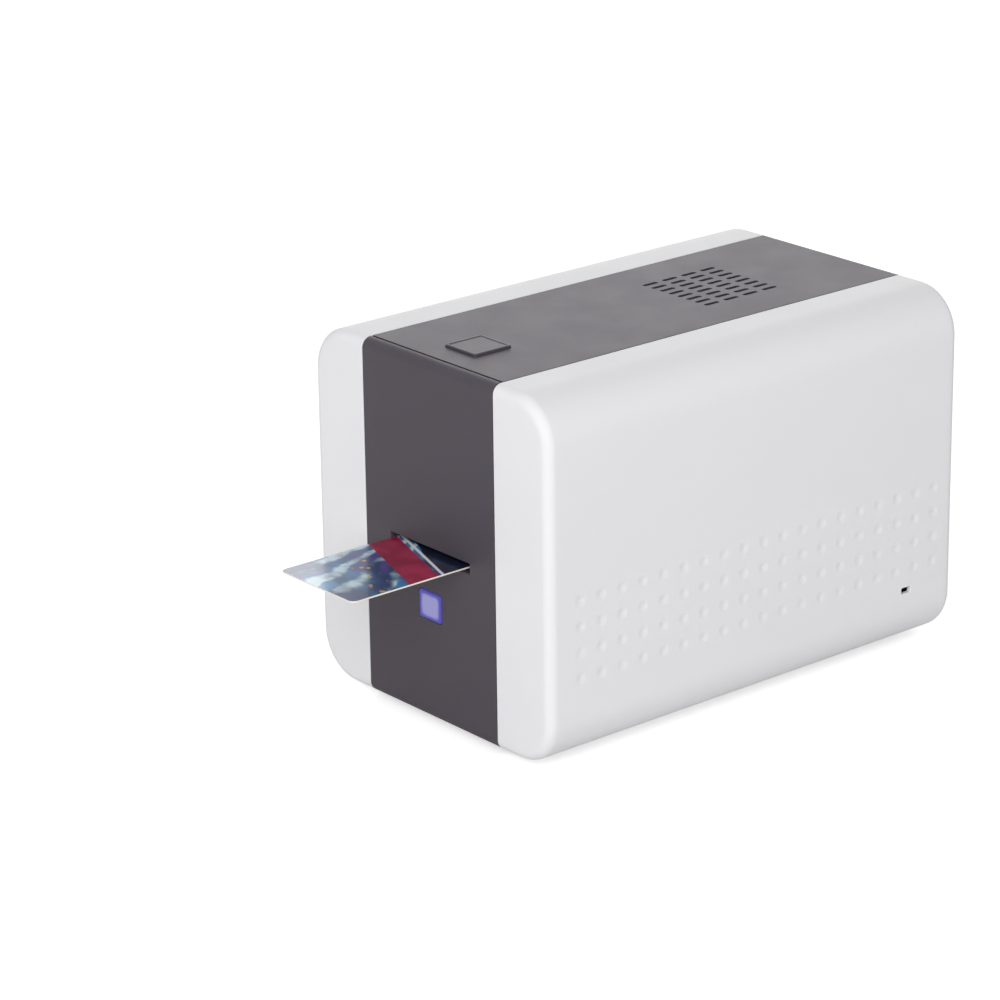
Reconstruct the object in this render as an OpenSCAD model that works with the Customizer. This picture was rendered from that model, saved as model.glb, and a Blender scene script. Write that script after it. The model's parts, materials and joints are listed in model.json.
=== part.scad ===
// Desktop card printer: white side panels, dark front, lid and rear covers,
// a hinged lid that carries the print head, a roller card path and a ribbon drive.
// Millimetres. The feet stand on z = 0, the front faces -Y, the rear +Y.

/* [Body] */
// Width of the body over both side panels
body_w = 170; // [140:1:210]
// Depth of the body from front plane to rear plane
body_l = 260; // [214:1:320]
// Height of the body above its feet
body_h = 177; // [166:1:215]
// Width of the dark middle section between the panels
core_w = 94; // [92:1:100]
// Radius of the body's four long corners
corner_r = 23; // [14:1:27]
// Radius of the round along the front and rear edges
edge_r = 5; // [3.5:0.5:7]
// Wall of the moulded covers
wall = 2.5; // [2:0.1:3]
// Shadow gap between a white panel and the dark section
seam_gap = 0.4; // [0.3:0.1:1]
// Height of the rubber feet below the body
foot_h = 3; // [2:0.5:8]
// Radius of the rubber feet
foot_r = 6.5; // [4:0.5:7]

/* [Card path] */
// Card width across the path
card_w = 53.98; // [53.9:0.01:54.05]
// Card length along the path
card_l = 85.6; // [85.5:0.01:85.7]
// Card thickness
card_t = 0.76; // [0.5:0.01:0.85]
// Length of card that sticks out of the front at rest
card_out = 66; // [60:1:70]
// Height of the card plane above the body's underside
card_h = 84; // [82:1:96]
// Width of the card slot
slot_w = 58; // [56:0.5:62]
// Height of the card slot
slot_h = 5; // [4:0.1:6]
// Radius of the driven rollers
roller_r = 6.5; // [5:0.1:7]
// Radius of the roller shafts
shaft_r = 3; // [2.5:0.1:3.5]

/* [Dimples] */
// Spacing of the dimples both ways
dimple_pitch = 12.6; // [11:0.1:15]
// Rim diameter of a dimple
dimple_d = 6.8; // [5:0.1:8]
// Depth of a dimple
dimple_depth = 0.4; // [0.3:0.1:0.8]
// Rows of dimples
dimple_rows = 4; // [2:1:5]

/* [Lid] */
// Distance of the lid's front edge behind the front plane
lid_front = 6.6; // [6:0.1:9]
// Shadow gap between the front cover and the lid
lid_gap = 1.2; // [0.5:0.1:1.5]
// Depth of the skirts along the lid's sides
skirt_h = 14; // [10:1:18]
// Side of the square release button
release_w = 22; // [18:0.5:24]
// How far the release button stands above the lid
release_rise = 1.3; // [1:0.1:2.5]
// Travel of the release button
release_travel = 2.5; // [1.5:0.1:2.6]
// Columns of vent slots across the lid
vent_cols = 8; // [4:1:9]
// Rows of vent slots along the lid
vent_rows = 4; // [2:1:5]

/* [Front button] */
// Width of the lit button
lit_w = 16; // [12:0.5:18]
// Height of the lit button
lit_h = 13.8; // [11:0.1:15]
// Height of the lit button's centre above the body's underside
lit_z = 57.4; // [54:0.1:60]
// Travel of the lit button
lit_travel = 1; // [0.6:0.1:1.2]

/* [Gears] */
// Teeth of the platen gear and its idler
gear_teeth = 28; // [24:1:30]
// Teeth of both motor pinions
pinion_teeth = 14; // [14:1:16]
// Teeth of the ribbon gears
ribbon_teeth = 35; // [32:1:36]
// Module of all gears
gear_module = 1; // [0.9:0.05:1]

/* [Hidden] */
$fn = 48;

// Fits and clearances
run_gap = 0.05;          // radial running clearance of a shaft in its bore
close_gap = 0.02;        // clearance of pieces that sit still in each other
free_gap = 0.3;          // gap between neighbours that pass each other
eps = 0.01;
cut = 1;                 // how far a cutter runs past the face it opens

// Overall planes
front_y = -body_l / 2;
rear_y = body_l / 2;
base_z = foot_h;
top_z = foot_h + body_h;
mid_z = foot_h + body_h / 2;
core_x = core_w / 2;
panel_x = core_x + seam_gap;
side_x = body_w / 2;
floor_z = base_z + wall;
dimple_front = 18.5;                 // first dimple behind the front plane
dimple_rear = 14.5;                  // least room behind the last dimple
dimple_low = 42.3;                   // lowest row above the underside
foot_inset = 8;                      // feet from a panel's inner edge
foot_end = 28;                       // feet from the front and rear planes
foot_chamfer = 0.8;

// Front and rear covers and the tray between them
cover_back_y = front_y + lid_front - lid_gap;    // rear end of the front cover's flanges
cover_face_y = rear_y - lid_front + free_gap;    // front end of the rear cover's flanges
tray_gap = 0.5;                      // gap between the tray and the covers' flanges
tray_wall_h = 13;
tray_slot_w = 3;
tray_slot_pitch = 8;
tray_rib_t = 2;
tray_rib_h = 5;
return_low = base_z + 15;            // lower end of the covers' side returns
rear_return_y = rear_y - 16;
tab_h = 6;                           // height of a cover's screw tab
tab_l = 3;                           // its depth along Y
tab_low = base_z + 30;
air_pitch = 6;                       // rear air slots
air_w = 2.6;
air_low = base_z + 90;
air_high = base_z + 115;

// Side frames
frame_t = 2;
frame_out = core_x - 4;              // outer face of a side frame
frame_in = frame_out - frame_t;      // inner face of a side frame
frame_front = front_y + 12;
frame_rear = rear_y - 12;
frame_top = top_z - 30;
window = 24;                         // square windows behind the last roller
window_pitch_y = 33;
window_pitch_z = 38;
window_edge_y = 4;                   // least rim of a window to the frame's rear edge
window_edge_z = 6;
skirt_in = core_x - wall;            // inner face of the covers' side returns

// Lid hinge
hinge_y = rear_y - 7;
hinge_z = top_z - 7;
ear_r = 4;
pin_r = 2;
lip_r = 14;                          // radius of the lid's rear lip edge about the hinge
lip_gap = 0.5;
sweep_r = 15.5;                      // radius kept clear for the swinging lip
arm_l = 34;                          // forward reach of the hinge arm
riser_w = 18;

// Card path
card_z = base_z + card_h;
card_top = card_z + card_t / 2;
card_bottom = card_z - card_t / 2;
roller_z = card_bottom - free_gap - roller_r;
eject_y = front_y + 16;
clean_y = front_y + 52;
platen_y = front_y + 100;
rear_feed_y = front_y + 145;
pinch_r = 4;
pinch_shaft_r = 2;
clean_r = 4.5;
sleeve_half = 22;
guide_in = card_w / 2 - 2;           // inner edge of a card guide's shelf
guide_wall_in = card_w / 2 + 0.4;
guide_t = 2;
guide_gap = 0.3;                     // card underside to a guide's shelf
guide_front = front_y + 9;
guide_rear = rear_feed_y + 50;
pinch_z = card_top + free_gap + pinch_r;
clean_z = card_top + free_gap + clean_r;
pinch_half = 20;                     // half length of an upper roller's face

// Throat behind the card slot
throat_back = front_y + 8.5;
throat_rim = 4;                      // width beyond the slot at each side
throat_half_h = 7;
throat_play = 0.6;                   // play of the card in the throat's neck
throat_neck_l = 1.5;
throat_lead = 0.4;

// Bushes and pulleys
bush_r = 5;
bush_flange_r = 7;
bush_out = 1;                        // length of a bush beyond the frame's outer face
pulley_r = 7;
belt_t = 1.2;
belt_w = 6;
gear_w = 5;
gear_x = frame_out + 1.5;            // inner face of the left gear plane, from the centre
belt_x = gear_x + gear_w + 1.5;      // inner face of the belt plane
axle_end = 0.5;                      // length of a shaft beyond its bush or belt

// Ribbon
spool_z = card_top + 30.62;
take_up_y = front_y + 38;
supply_y = front_y + 158;
core_tube_r = 6;
hub_r = 4;
take_up_roll_r = 15;
supply_roll_r = 17;
spool_flange_r = 18.5;
spool_half = 31.5;
cheek_x = 33;
cheek_t = 2.5;
film_t = 0.2;
film_half = 30;
ribbon_gear_x = frame_out + 4.5;
peg_len = 12;
peg_r = 2;
peg_dy = 26;                         // pegs before and behind the print line
cheek_rail_h = 8;
cross_bar_r = 2.2;
cross_bar_y = [take_up_y - spool_flange_r - 2.5, supply_y + spool_flange_r + 2.5];
film_gap = 0.4;                      // film above the card at the print line
film_flat = 8;                       // half length of the film's flat run
film_step = 16;                      // half length up to where it leaves for the spools
film_lift = 4.2;                     // its rise by then

// Gear teeth and centres
gear_backlash = 0.16;
pressure = 20;                       // pressure angle
addendum = 0.8;                      // in modules, shortened for running room
dedendum = 1.1;
idler_z = roller_z - gear_teeth * gear_module;
motor_z = idler_z - (gear_teeth + pinion_teeth) / 2 * gear_module;
ribbon_idler_dy = -6;
ribbon_idler_y = take_up_y + ribbon_idler_dy;
ribbon_idler_dist = ribbon_teeth * gear_module;
ribbon_idler_z = spool_z - sqrt(pow(ribbon_idler_dist, 2) - pow(ribbon_idler_dy, 2));
ribbon_motor_z = ribbon_idler_z - (ribbon_teeth + pinion_teeth) / 2 * gear_module;
post_r = 3;
motor_side = 35;
motor_len = 34;
motor_boss_r = 11;
motor_shaft_r = 2.5;
motor_shaft_in = 18;                 // length of a motor shaft behind the frame's face
ribbon_shaft_in = 14;
ribbon_boss_r = 3.8;
ribbon_motor_r = 12;
ribbon_motor_len = 30;
ribbon_shaft_r = 1.5;

// Print head, measured from the platen line
head_half = 31;
head_gap = 0.8;                      // film and clearance between card and head line
head_z = card_top + head_gap;
head_body_z = head_z + 4;
head_body_t = 5;
sink_z = head_body_z + head_body_t;
sink_base_t = 5;
fin_h = 10;
fin_t = 1.5;
fin_count = 7;
sink_half_x = 28.3;
sink_half_y = 14;
leg_in = 28.8;
leg_t = 2;
shelf_z = sink_z + sink_base_t + fin_h + 20;
bracket_half_y = 15;
leg_half_y = 12;
shelf_half_y = 8;
bracket_top = top_z - 15;
head_screw_places = [for (sx = [-1, 1], sy = [-1, 1]) [sx * 20, platen_y + sy * 10]];
sink_pin_r = 1.5;
sink_slot_r = 1.6;                   // slots for the pins, with room to float
sink_slot_rise = 1.5;
spring_x = 16;
spring_r = 4;
spring_wire = 0.9;
spring_turns = 6;

// Release button and latch
release_y = front_y + 31;
release_gap = 0.4;
release_corner = 1.5;
release_step = 0.6;                  // height of the cap's slimmer upper edge
release_inset = 0.4;                 // how much slimmer it is at each side
release_rim = 1.1;                   // rim round the cap's sunk top
release_dish = 0.3;                  // depth of the sunk top
release_flange_t = 1.2;
release_flange_l = 4;                // flange length beyond the cap, over both ends
skirt_gap = 1.7;                     // cap to the middle of a guide wall
skirt_wall = 1.6;
skirt_half_l = 8;
skirt_drop = release_travel + 2.5;   // guide walls reach past the cap at full travel
latch_y = front_y + 19;
latch_z = top_z - 16;
latch_r = 2.5;
latch_ear_x = 24;
latch_ear_t = 3;
latch_ear_rim = 2.5;
latch_ear_half = latch_r + latch_ear_rim;
lever_half = 3;
lever_t = 2;
stem_w = 8;                          // the button's stem, across and along the body
stem_t = 2;
hook_x = 34.5;
hook_t = 3;
hook_arm = 4;                        // depth of a hook's arm along Y
nose_l = 5;                          // reach of a hook's nose behind the bar's axis
nose_h = 3.5;
strike_r = 2;
strike_y = latch_y + nose_l + free_gap + strike_r;
strike_z = frame_top - 4;
hook_low = strike_z - strike_r - free_gap - nose_h;

// Vent slots of the lid
vent_pitch_x = 6.2;
vent_pitch_y = 12.5;
vent_w = 2.6;
vent_l = 9;
vent_y = front_y + 156.8;            // first row of slots
rib_h = 4;                           // stiffening ribs before and behind the slots
rib_t = 1.6;
rib_places = [vent_y - 14, vent_y + vent_rows * vent_pitch_y + 2];
lip_back = 1.2;                      // front lip behind the lid's edge
lip_t = 2;

// Lit button and its board
light_board_y = front_y + 11;
light_board_half = [15, 12];         // across and upright
light_board_t = 1.2;
pillar_x = 12;
pillar_dz = 10;
pillar_r = 1.6;
lit_corner = 1.5;
lit_play = 0.25;                     // clearance all round in the cover
lit_proud = 0.3;
lit_flange = 1.5;                    // flange beyond the face at each side
lit_flange_t = 1.2;
lit_stem_half = 2;
lit_stem_gap = 0.2;                  // stem to its switch at full travel

// Rear sockets and switch
board_z = floor_z + 8.5;
board_t = 1.6;
board_x = 38;
board_front = rear_y - 112;
board_rear = rear_y - 11;
usb_x = -22;
usb_w = 12;
usb_h = 11;
jack_x = 2;
jack_w = 9;
jack_h = 11;
jack_r = 3.2;
switch_x = 26;
switch_z = board_z + board_t + 6.5;
switch_w = 19;
switch_h = 13;
switch_flange = 1.4;
rocker_tilt = 8;
rocker_pin_r = 1.2;
rocker_y = rear_y - 2;               // the rocker's upright pin
socket_gap = 0.3;
switch_gap = 0.1;
switch_rim = 1.2;
switch_wall = 1.5;

// Lock slot in the right panel
lock_w = 6;
lock_h = 3;
lock_y = rear_y - 32.2;
lock_z = base_z + 31;
lock_t = 1.5;

// Screws
screw_r = 1.5;
screw_head_r = 2.8;
screw_head_h = 1.6;
boss_r = 4;
boss_bore = 12;
boss_low = base_z + 24;
boss_high = frame_top - 6;
boss_places = [
    [front_y + 25, boss_low],
    [front_y + 47, boss_high],
    [rear_y - 48, boss_low],
    [rear_y - 30, boss_high]
];

// Tie rods between the side frames
tie_r = 3;
tie_end_r = 1.8;                     // turned-down ends that stand in the frames
tie_rod_places = [
    [front_y + 20, base_z + 34],
    [rear_y - 55, base_z + 40],
    [rear_feed_y + 37, frame_top - 14]
];

// ---------------------------------------------------------------- helpers

// A flat shape drawn in (Y, Z), carried along X
module along_x(x0, len) {
    translate([x0, 0, 0]) rotate([90, 0, 90]) linear_extrude(len) children();
}

// A flat shape drawn in (X, Z), carried along Y
module along_y(y0, len) {
    translate([0, y0 + len, 0]) rotate([90, 0, 0]) linear_extrude(len) children();
}

// A box given by its low and high corners
module span(a, b) {
    translate(a) cube([b[0] - a[0], b[1] - a[1], b[2] - a[2]]);
}

// A round bar along X
module bar_x(x0, len, y, z, r) {
    translate([x0, y, z]) rotate([0, 90, 0]) cylinder(r = r, h = len);
}

// A rectangle with round corners, centred
module rounded_rect(w, h, r) {
    square([w - 2 * r, h], center = true);
    square([w, h - 2 * r], center = true);
    for (sx = [-1, 1], sy = [-1, 1])
        translate([sx * (w / 2 - r), sy * (h / 2 - r)]) circle(r);
}

// Mirrored copies at both sides of the centre plane
module both_sides() {
    children();
    mirror([1, 0, 0]) children();
}

// Profile that a corner column is turned from: radius by depth, outer ends rounded
module column_profile(r, l, e) {
    translate([0, -l / 2]) square([r - e, l]);
    translate([0, -l / 2 + e]) square([r, l - 2 * e]);
    for (s = [-1, 1]) translate([r - e, s * (l / 2 - e)]) circle(e);
}

// The body's outer form, shrunk all round by inset
module body_form(inset) {
    w = body_w - 2 * inset;
    h = body_h - 2 * inset;
    l = body_l - 2 * inset;
    r = corner_r - inset;
    e = edge_r - inset;
    translate([0, 0, mid_z]) {
        translate([0, 0, -(h / 2 - r)]) linear_extrude(h - 2 * r) rounded_rect(w, l, e);
        along_x(-(w / 2 - r), w - 2 * r) rounded_rect(l, h, e);
        for (i = [0:3]) {
            sx = (i == 0 || i == 3) ? 1 : -1;
            sz = (i == 0 || i == 1) ? -1 : 1;
            translate([sx * (w / 2 - r), 0, sz * (h / 2 - r)])
                rotate([-90, 0, 0]) rotate([0, 0, 90 * i])
                    rotate_extrude(angle = 90) intersection() {
                        column_profile(r, l, e);
                        translate([0, -l / 2]) square([r, l]);
                    }
        }
    }
}

// The dark middle section's solid form, shrunk all round by inset
module core_form(inset) {
    translate([0, 0, mid_z])
        along_x(-core_x + inset, core_w - 2 * inset)
            rounded_rect(body_l - 2 * inset, body_h - 2 * inset, edge_r - inset);
}

// Involute gear outline: flanks worked out from the base circle
function involute(rb, t) = [
    rb * (cos(t) + t * PI / 180 * sin(t)),
    rb * (sin(t) - t * PI / 180 * cos(t))
];
function turn(p, a) = [p[0] * cos(a) - p[1] * sin(a), p[0] * sin(a) + p[1] * cos(a)];
function roll_angle(rb, r) = sqrt(pow(max(r, rb) / rb, 2) - 1) * 180 / PI;
function polar_of(rb, t) = t - atan(t * PI / 180);
module gear_2d(teeth, m) {
    rp = teeth * m / 2;
    rb = rp * cos(pressure);
    ra = rp + addendum * m;
    rr = rp - dedendum * m;
    rs = max(rb, rr);
    half = 90 / teeth - gear_backlash / rp * 90 / PI;
    flank0 = half + polar_of(rb, roll_angle(rb, rp));
    steps = 4;
    low = roll_angle(rb, rs);
    high = roll_angle(rb, ra);
    flank = [for (i = [0:steps]) turn(involute(rb, low + (high - low) * i / steps), -flank0)];
    root = turn([rr, 0], -flank0 + polar_of(rb, low));
    side_a = concat([root], flank);
    side_b = [for (i = [len(side_a) - 1:-1:0]) [side_a[i][0], -side_a[i][1]]];
    tooth = concat(side_a, side_b);
    polygon([for (k = [0:teeth - 1]) for (p = tooth) turn(p, k * 360 / teeth)]);
}

// Phase that puts a second gear in mesh with a first one, along the line at angle dir
function mesh_phase(a1, z1, z2, dir) = dir + 180 - (a1 - dir) * z1 / z2 - 180 / z2;

// A gear at (y, z) with a plain round bore
module gear_at(x0, y, z, teeth, phase, bore) {
    along_x(x0, gear_w) translate([y, z]) difference() {
        rotate(phase) gear_2d(teeth, gear_module);
        circle(bore);
    }
}

// Point where the lower tangent from p touches a circle
function tangent_angle(p, c, r, side) =
    atan2(p[1] - c[1], p[0] - c[0]) + side * acos(r / norm([p[0] - c[0], p[1] - c[1]]));
function tangent_point(p, c, r, side) =
    [c[0] + r * cos(tangent_angle(p, c, r, side)), c[1] + r * sin(tangent_angle(p, c, r, side))];

// ---------------------------------------------------------------- outer covers

module dimple_grid() {
    sphere_r = (pow(dimple_d / 2, 2) + pow(dimple_depth, 2)) / (2 * dimple_depth);
    cols = floor((body_l - dimple_front - dimple_rear) / dimple_pitch) + 1;
    for (c = [0:cols - 1], r = [0:dimple_rows - 1])
        translate([
            side_x + sphere_r - dimple_depth,
            front_y + dimple_front + c * dimple_pitch,
            base_z + dimple_low + r * dimple_pitch
        ]) sphere(sphere_r);
}

module panel_boss(y, z) {
    difference() {
        bar_x(frame_out, side_x - wall / 2 - frame_out, y, z, boss_r);
        bar_x(frame_out - cut, cut + boss_bore, y, z, screw_r);
    }
}

module side_panel(with_lock) {
    difference() {
        intersection() {
            body_form(0);
            span([panel_x, front_y - cut, base_z - cut], [side_x + cut, rear_y + cut, top_z + cut]);
        }
        intersection() {
            body_form(wall);
            span([0, front_y, base_z], [side_x, rear_y, top_z]);
        }
        dimple_grid();
        if (with_lock)
            span([side_x - wall - cut, lock_y - lock_w / 2, lock_z - lock_h / 2],
                 [side_x + cut, lock_y + lock_w / 2, lock_z + lock_h / 2]);
    }
    for (p = boss_places) panel_boss(p[0], p[1]);
}

module right_side_panel() {
    color("white") side_panel(true);
}

module left_side_panel() {
    color("white") mirror([1, 0, 0]) side_panel(false);
}

module foot() {
    rotate_extrude() polygon([
        [0, 0], [foot_r - foot_chamfer, 0], [foot_r, foot_chamfer], [foot_r, foot_h], [0, foot_h]
    ]);
}

module rubber_feet() {
    color("dimgray") both_sides()
        for (s = [-1, 1]) translate([panel_x + foot_inset, s * (body_l / 2 - foot_end), 0]) foot();
}

module base_tray() {
    tray_front = cover_back_y + tray_gap;
    tray_rear = cover_face_y - tray_gap;
    color("dimgray") difference() {
        union() {
            span([-core_x, tray_front, base_z], [core_x, tray_rear, floor_z]);
            both_sides() span([skirt_in, tray_front, base_z], [core_x, tray_rear, base_z + tray_wall_h]);
            // posts under the main board
            both_sides() for (y = [board_front + 5, board_rear - 5])
                translate([board_x - 5, y, floor_z - eps]) cylinder(r = 3, h = board_z - floor_z + eps);
            // ribs across the front half
            for (y = [front_y + 40, front_y + 75])
                span([-30, y, floor_z - eps], [30, y + tray_rib_t, floor_z + tray_rib_h]);
        }
        // air slots in the floor
        for (i = [-3:3])
            translate([i * tray_slot_pitch, 0, 0])
                span([-tray_slot_w / 2, rear_y - 80, base_z - cut],
                     [tray_slot_w / 2, rear_y - 50, floor_z + cut]);
    }
}

module cover_return(y0, y1, z0, z1) {
    both_sides() span([skirt_in, y0, z0], [core_x, y1, z1]);
}

module cover_tab(y0, z) {
    both_sides() span([frame_out, y0, z - tab_h / 2], [skirt_in + eps, y0 + tab_l, z + tab_h / 2]);
}

module front_cover() {
    color("dimgray") difference() {
        union() {
            difference() {
                core_form(0);
                core_form(wall);
                span([-body_w, cover_back_y, -cut], [body_w, rear_y + cut, top_z + cut]);
                // the lid's and tray's ends stand behind the flanges
                span([-skirt_in, front_y + wall, floor_z], [skirt_in, cover_back_y + cut, top_z - wall]);
            }
            cover_return(cover_back_y - eps, frame_front, return_low, top_z - skirt_h - 2);
            for (z = [tab_low, frame_top - 8]) cover_tab(frame_front + free_gap, z);
            // pillars that hold the light board
            for (s = [-1, 1], dz = [-pillar_dz, pillar_dz])
                translate([s * pillar_x, front_y + wall - eps, base_z + lit_z + dz]) rotate([-90, 0, 0])
                    cylinder(r = pillar_r, h = light_board_y - front_y - wall + eps);
        }
        span([-slot_w / 2, front_y - cut, card_z - slot_h / 2],
             [slot_w / 2, front_y + wall + cut, card_z + slot_h / 2]);
        translate([0, 0, base_z + lit_z]) along_y(front_y - cut, wall + 2 * cut)
            rounded_rect(lit_w + 2 * lit_play, lit_h + 2 * lit_play, lit_corner + lit_play);
    }
}

// Opening in the rear wall for a socket that stands on the board
module socket_opening(x, w, h) {
    low = board_z + board_t;
    span([x - w / 2 - socket_gap, rear_y - wall - cut, low - socket_gap],
         [x + w / 2 + socket_gap, rear_y + cut, low + h + socket_gap]);
}

module rear_cover() {
    return_top = hinge_z - sweep_r - 6;
    color("dimgray") difference() {
        union() {
            difference() {
                core_form(0);
                core_form(wall);
                span([-body_w, front_y - cut, -cut], [body_w, cover_face_y, top_z + cut]);
                span([-skirt_in, cover_face_y - cut, floor_z], [skirt_in, rear_y - wall, top_z - wall]);
                span([-body_w, front_y, hinge_z - lip_r], [body_w, rear_y + cut, top_z + cut]);
            }
            cover_return(rear_return_y, cover_face_y + eps, return_low, return_top);
            for (z = [tab_low, return_top - 8]) cover_tab(frame_rear - free_gap - tab_l, z);
            // a lip piece that follows the lid's swing
            span([-core_x, rear_y - wall, hinge_z - lip_r - 2], [core_x, rear_y, hinge_z - 10]);
        }
        bar_x(-body_w, 2 * body_w, hinge_y, hinge_z, lip_r + lip_gap);
        socket_opening(usb_x, usb_w, usb_h);
        socket_opening(jack_x, jack_w, jack_h);
        translate([switch_x, 0, switch_z]) along_y(rear_y - wall - cut, wall + 2 * cut)
            square([switch_w + 2 * switch_gap, switch_h + 2 * switch_gap], center = true);
        for (i = [-5:5])
            translate([i * air_pitch, 0, 0])
                span([-air_w / 2, rear_y - wall - cut, air_low], [air_w / 2, rear_y + cut, air_high]);
    }
}

// Black throat behind the slot: its mouth narrows towards the rollers
module slot_throat() {
    y0 = front_y + wall;
    y1 = throat_back;
    mouth = slot_h / 2 + throat_lead;
    neck = card_t / 2 + throat_play;
    half_w = slot_w / 2 + throat_rim;
    color("black") difference() {
        span([-half_w, y0, card_z - throat_half_h], [half_w, y1, card_z + throat_half_h]);
        along_x(-card_w / 2 - throat_play, card_w + 2 * throat_play)
            polygon([
                [y0 - cut, card_z - mouth], [y1 - throat_neck_l, card_z - neck], [y1 + cut, card_z - neck],
                [y1 + cut, card_z + neck], [y1 - throat_neck_l, card_z + neck], [y0 - cut, card_z + mouth]
            ]);
        // room for the rollers behind
        bar_x(-slot_w, 2 * slot_w, eject_y, roller_z, roller_r + 1);
        bar_x(-slot_w, 2 * slot_w, eject_y, pinch_z, pinch_r + 1);
    }
}

// ---------------------------------------------------------------- chassis

module frame_outline() {
    arm_front = hinge_y - arm_l;
    difference() {
        union() {
            translate([frame_front, floor_z]) square([frame_rear - frame_front, frame_top - floor_z]);
            translate([arm_front, frame_top - 5]) square([riser_w, hinge_z + ear_r - frame_top + 5]);
            translate([arm_front, hinge_z - ear_r]) square([arm_l, 2 * ear_r]);
            translate([hinge_y, hinge_z]) circle(ear_r);
        }
        translate([hinge_y, hinge_z]) circle(pin_r + run_gap);
        // windows behind the last roller, as many as the frame has room for
        last_y = frame_rear - window / 2 - window_edge_y;
        last_z = frame_top - window / 2 - window_edge_z;
        for (y = [rear_feed_y + 36:window_pitch_y:last_y], z = [base_z + 62:window_pitch_z:last_z])
            translate([y, z]) rounded_rect(window, window, 4);
        // screw holes of the panels
        for (p = boss_places) translate(p) circle(screw_r + 0.1);
        // lower rollers run in bushes, upper ones in plain holes
        for (y = [eject_y, clean_y, platen_y, rear_feed_y])
            translate([y, roller_z]) circle(bush_r + close_gap);
        for (p = [[eject_y, pinch_z], [clean_y, clean_z], [rear_feed_y, pinch_z]])
            translate(p) circle(pinch_shaft_r + run_gap);
        for (p = tie_rod_places) translate(p) circle(tie_end_r + close_gap);
    }
}

// Pegs the cartridge rests on
module frame_pegs() {
    peg_z = spool_z - spool_flange_r - peg_r - close_gap;
    for (y = [platen_y - peg_dy, platen_y + peg_dy])
        bar_x(cheek_x - 1, frame_in - cheek_x + 1 + eps, y, peg_z, peg_r);
}

// A hole right through a side frame's sheet, on the right side
module frame_hole(y, z, r) {
    bar_x(frame_in - cut, frame_t + 2 * cut, y, z, r);
}

module right_side_frame() {
    color("silver") {
        difference() {
            along_x(frame_in, frame_t) frame_outline();
            for (y = [take_up_y, supply_y]) frame_hole(y, spool_z, bush_r + close_gap);
            frame_hole(ribbon_idler_y, ribbon_idler_z, post_r);
            frame_hole(ribbon_idler_y, ribbon_motor_z, ribbon_boss_r + 0.2);
        }
        frame_pegs();
    }
}

module left_side_frame() {
    color("silver") mirror([1, 0, 0]) {
        difference() {
            along_x(frame_in, frame_t) frame_outline();
            frame_hole(platen_y, motor_z, motor_boss_r + close_gap);
            frame_hole(platen_y, idler_z, post_r);
        }
        frame_pegs();
        // pegs that the spools' left ends turn on
        for (y = [take_up_y, supply_y])
            bar_x(frame_in - peg_len, peg_len + eps, y, spool_z, hub_r - run_gap);
    }
}

module tie_rods() {
    color("silver") for (p = tie_rod_places) {
        bar_x(-frame_in, 2 * frame_in, p[0], p[1], tie_r);
        bar_x(-frame_out, 2 * frame_out, p[0], p[1], tie_end_r);
    }
}

module bush(x_sign, y, z) {
    length = frame_t + 1 + bush_out;
    mirror([x_sign < 0 ? 1 : 0, 0, 0]) difference() {
        union() {
            bar_x(frame_in - 1, 1, y, z, bush_flange_r);
            bar_x(frame_in - 1, length, y, z, bush_r);
        }
        bar_x(frame_in - 1 - cut, length + 2 * cut, y, z, shaft_r + run_gap);
    }
}

module roller_bushes() {
    color("goldenrod") {
        for (s = [-1, 1], y = [eject_y, clean_y, platen_y, rear_feed_y]) bush(s, y, roller_z);
        for (y = [take_up_y, supply_y]) bush(1, y, spool_z);
    }
}

// Shelf under the card's edge with a low wall beside it
module card_guide() {
    shelf = card_bottom - guide_gap;
    difference() {
        union() {
            span([guide_in, guide_front, shelf - guide_t], [frame_in, guide_rear, shelf]);
            span([guide_wall_in, guide_front, shelf - eps], [guide_wall_in + 2, guide_rear, card_top - 0.1]);
        }
        for (y = [eject_y, clean_y, rear_feed_y]) bar_x(0, frame_in + cut, y, pinch_z, pinch_shaft_r + 1.5);
        // bush flanges reach up beside the shelf
        for (y = [eject_y, clean_y, platen_y, rear_feed_y])
            bar_x(frame_in - 1.5, 2, y, roller_z, bush_flange_r + 0.4);
    }
}

module right_card_guide() {
    color("gray") card_guide();
}

module left_card_guide() {
    color("gray") mirror([1, 0, 0]) card_guide();
}

// Cassette frame: two cheeks with cross bars, open round the spools
module cheek_2d() {
    difference() {
        union() {
            for (y = [take_up_y, supply_y]) translate([y, spool_z]) circle(spool_flange_r);
            translate([take_up_y, spool_z - spool_flange_r]) square([supply_y - take_up_y, cheek_rail_h]);
            for (y = cross_bar_y) translate([y, spool_z]) circle(4);
        }
        for (y = [take_up_y, supply_y]) translate([y, spool_z]) circle(bush_r + 1);
    }
}

module ribbon_cartridge() {
    color("darkslategray") {
        both_sides() along_x(cheek_x, cheek_t) cheek_2d();
        for (y = cross_bar_y) bar_x(-cheek_x - eps, 2 * cheek_x + 2 * eps, y, spool_z, cross_bar_r);
    }
}

// Film: from the supply roll under the print line and up to the take-up roll
module ribbon_film() {
    take_c = [take_up_y, spool_z];
    supply_c = [supply_y, spool_z];
    near_h = card_top + film_gap;
    entry = [platen_y + film_step, near_h + film_lift];
    exit = [platen_y - film_step, near_h + film_lift];
    path = [
        tangent_point(exit, take_c, take_up_roll_r + free_gap, -1),
        exit,
        [platen_y - film_flat, near_h],
        [platen_y + film_flat, near_h],
        entry,
        tangent_point(entry, supply_c, supply_roll_r + free_gap, 1)
    ];
    low = [for (p = path) [p[0], p[1] - film_t / 2]];
    high = [for (i = [len(path) - 1:-1:0]) [path[i][0], path[i][1] + film_t / 2]];
    color("black") along_x(-film_half, 2 * film_half) polygon(concat(low, high));
}

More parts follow.
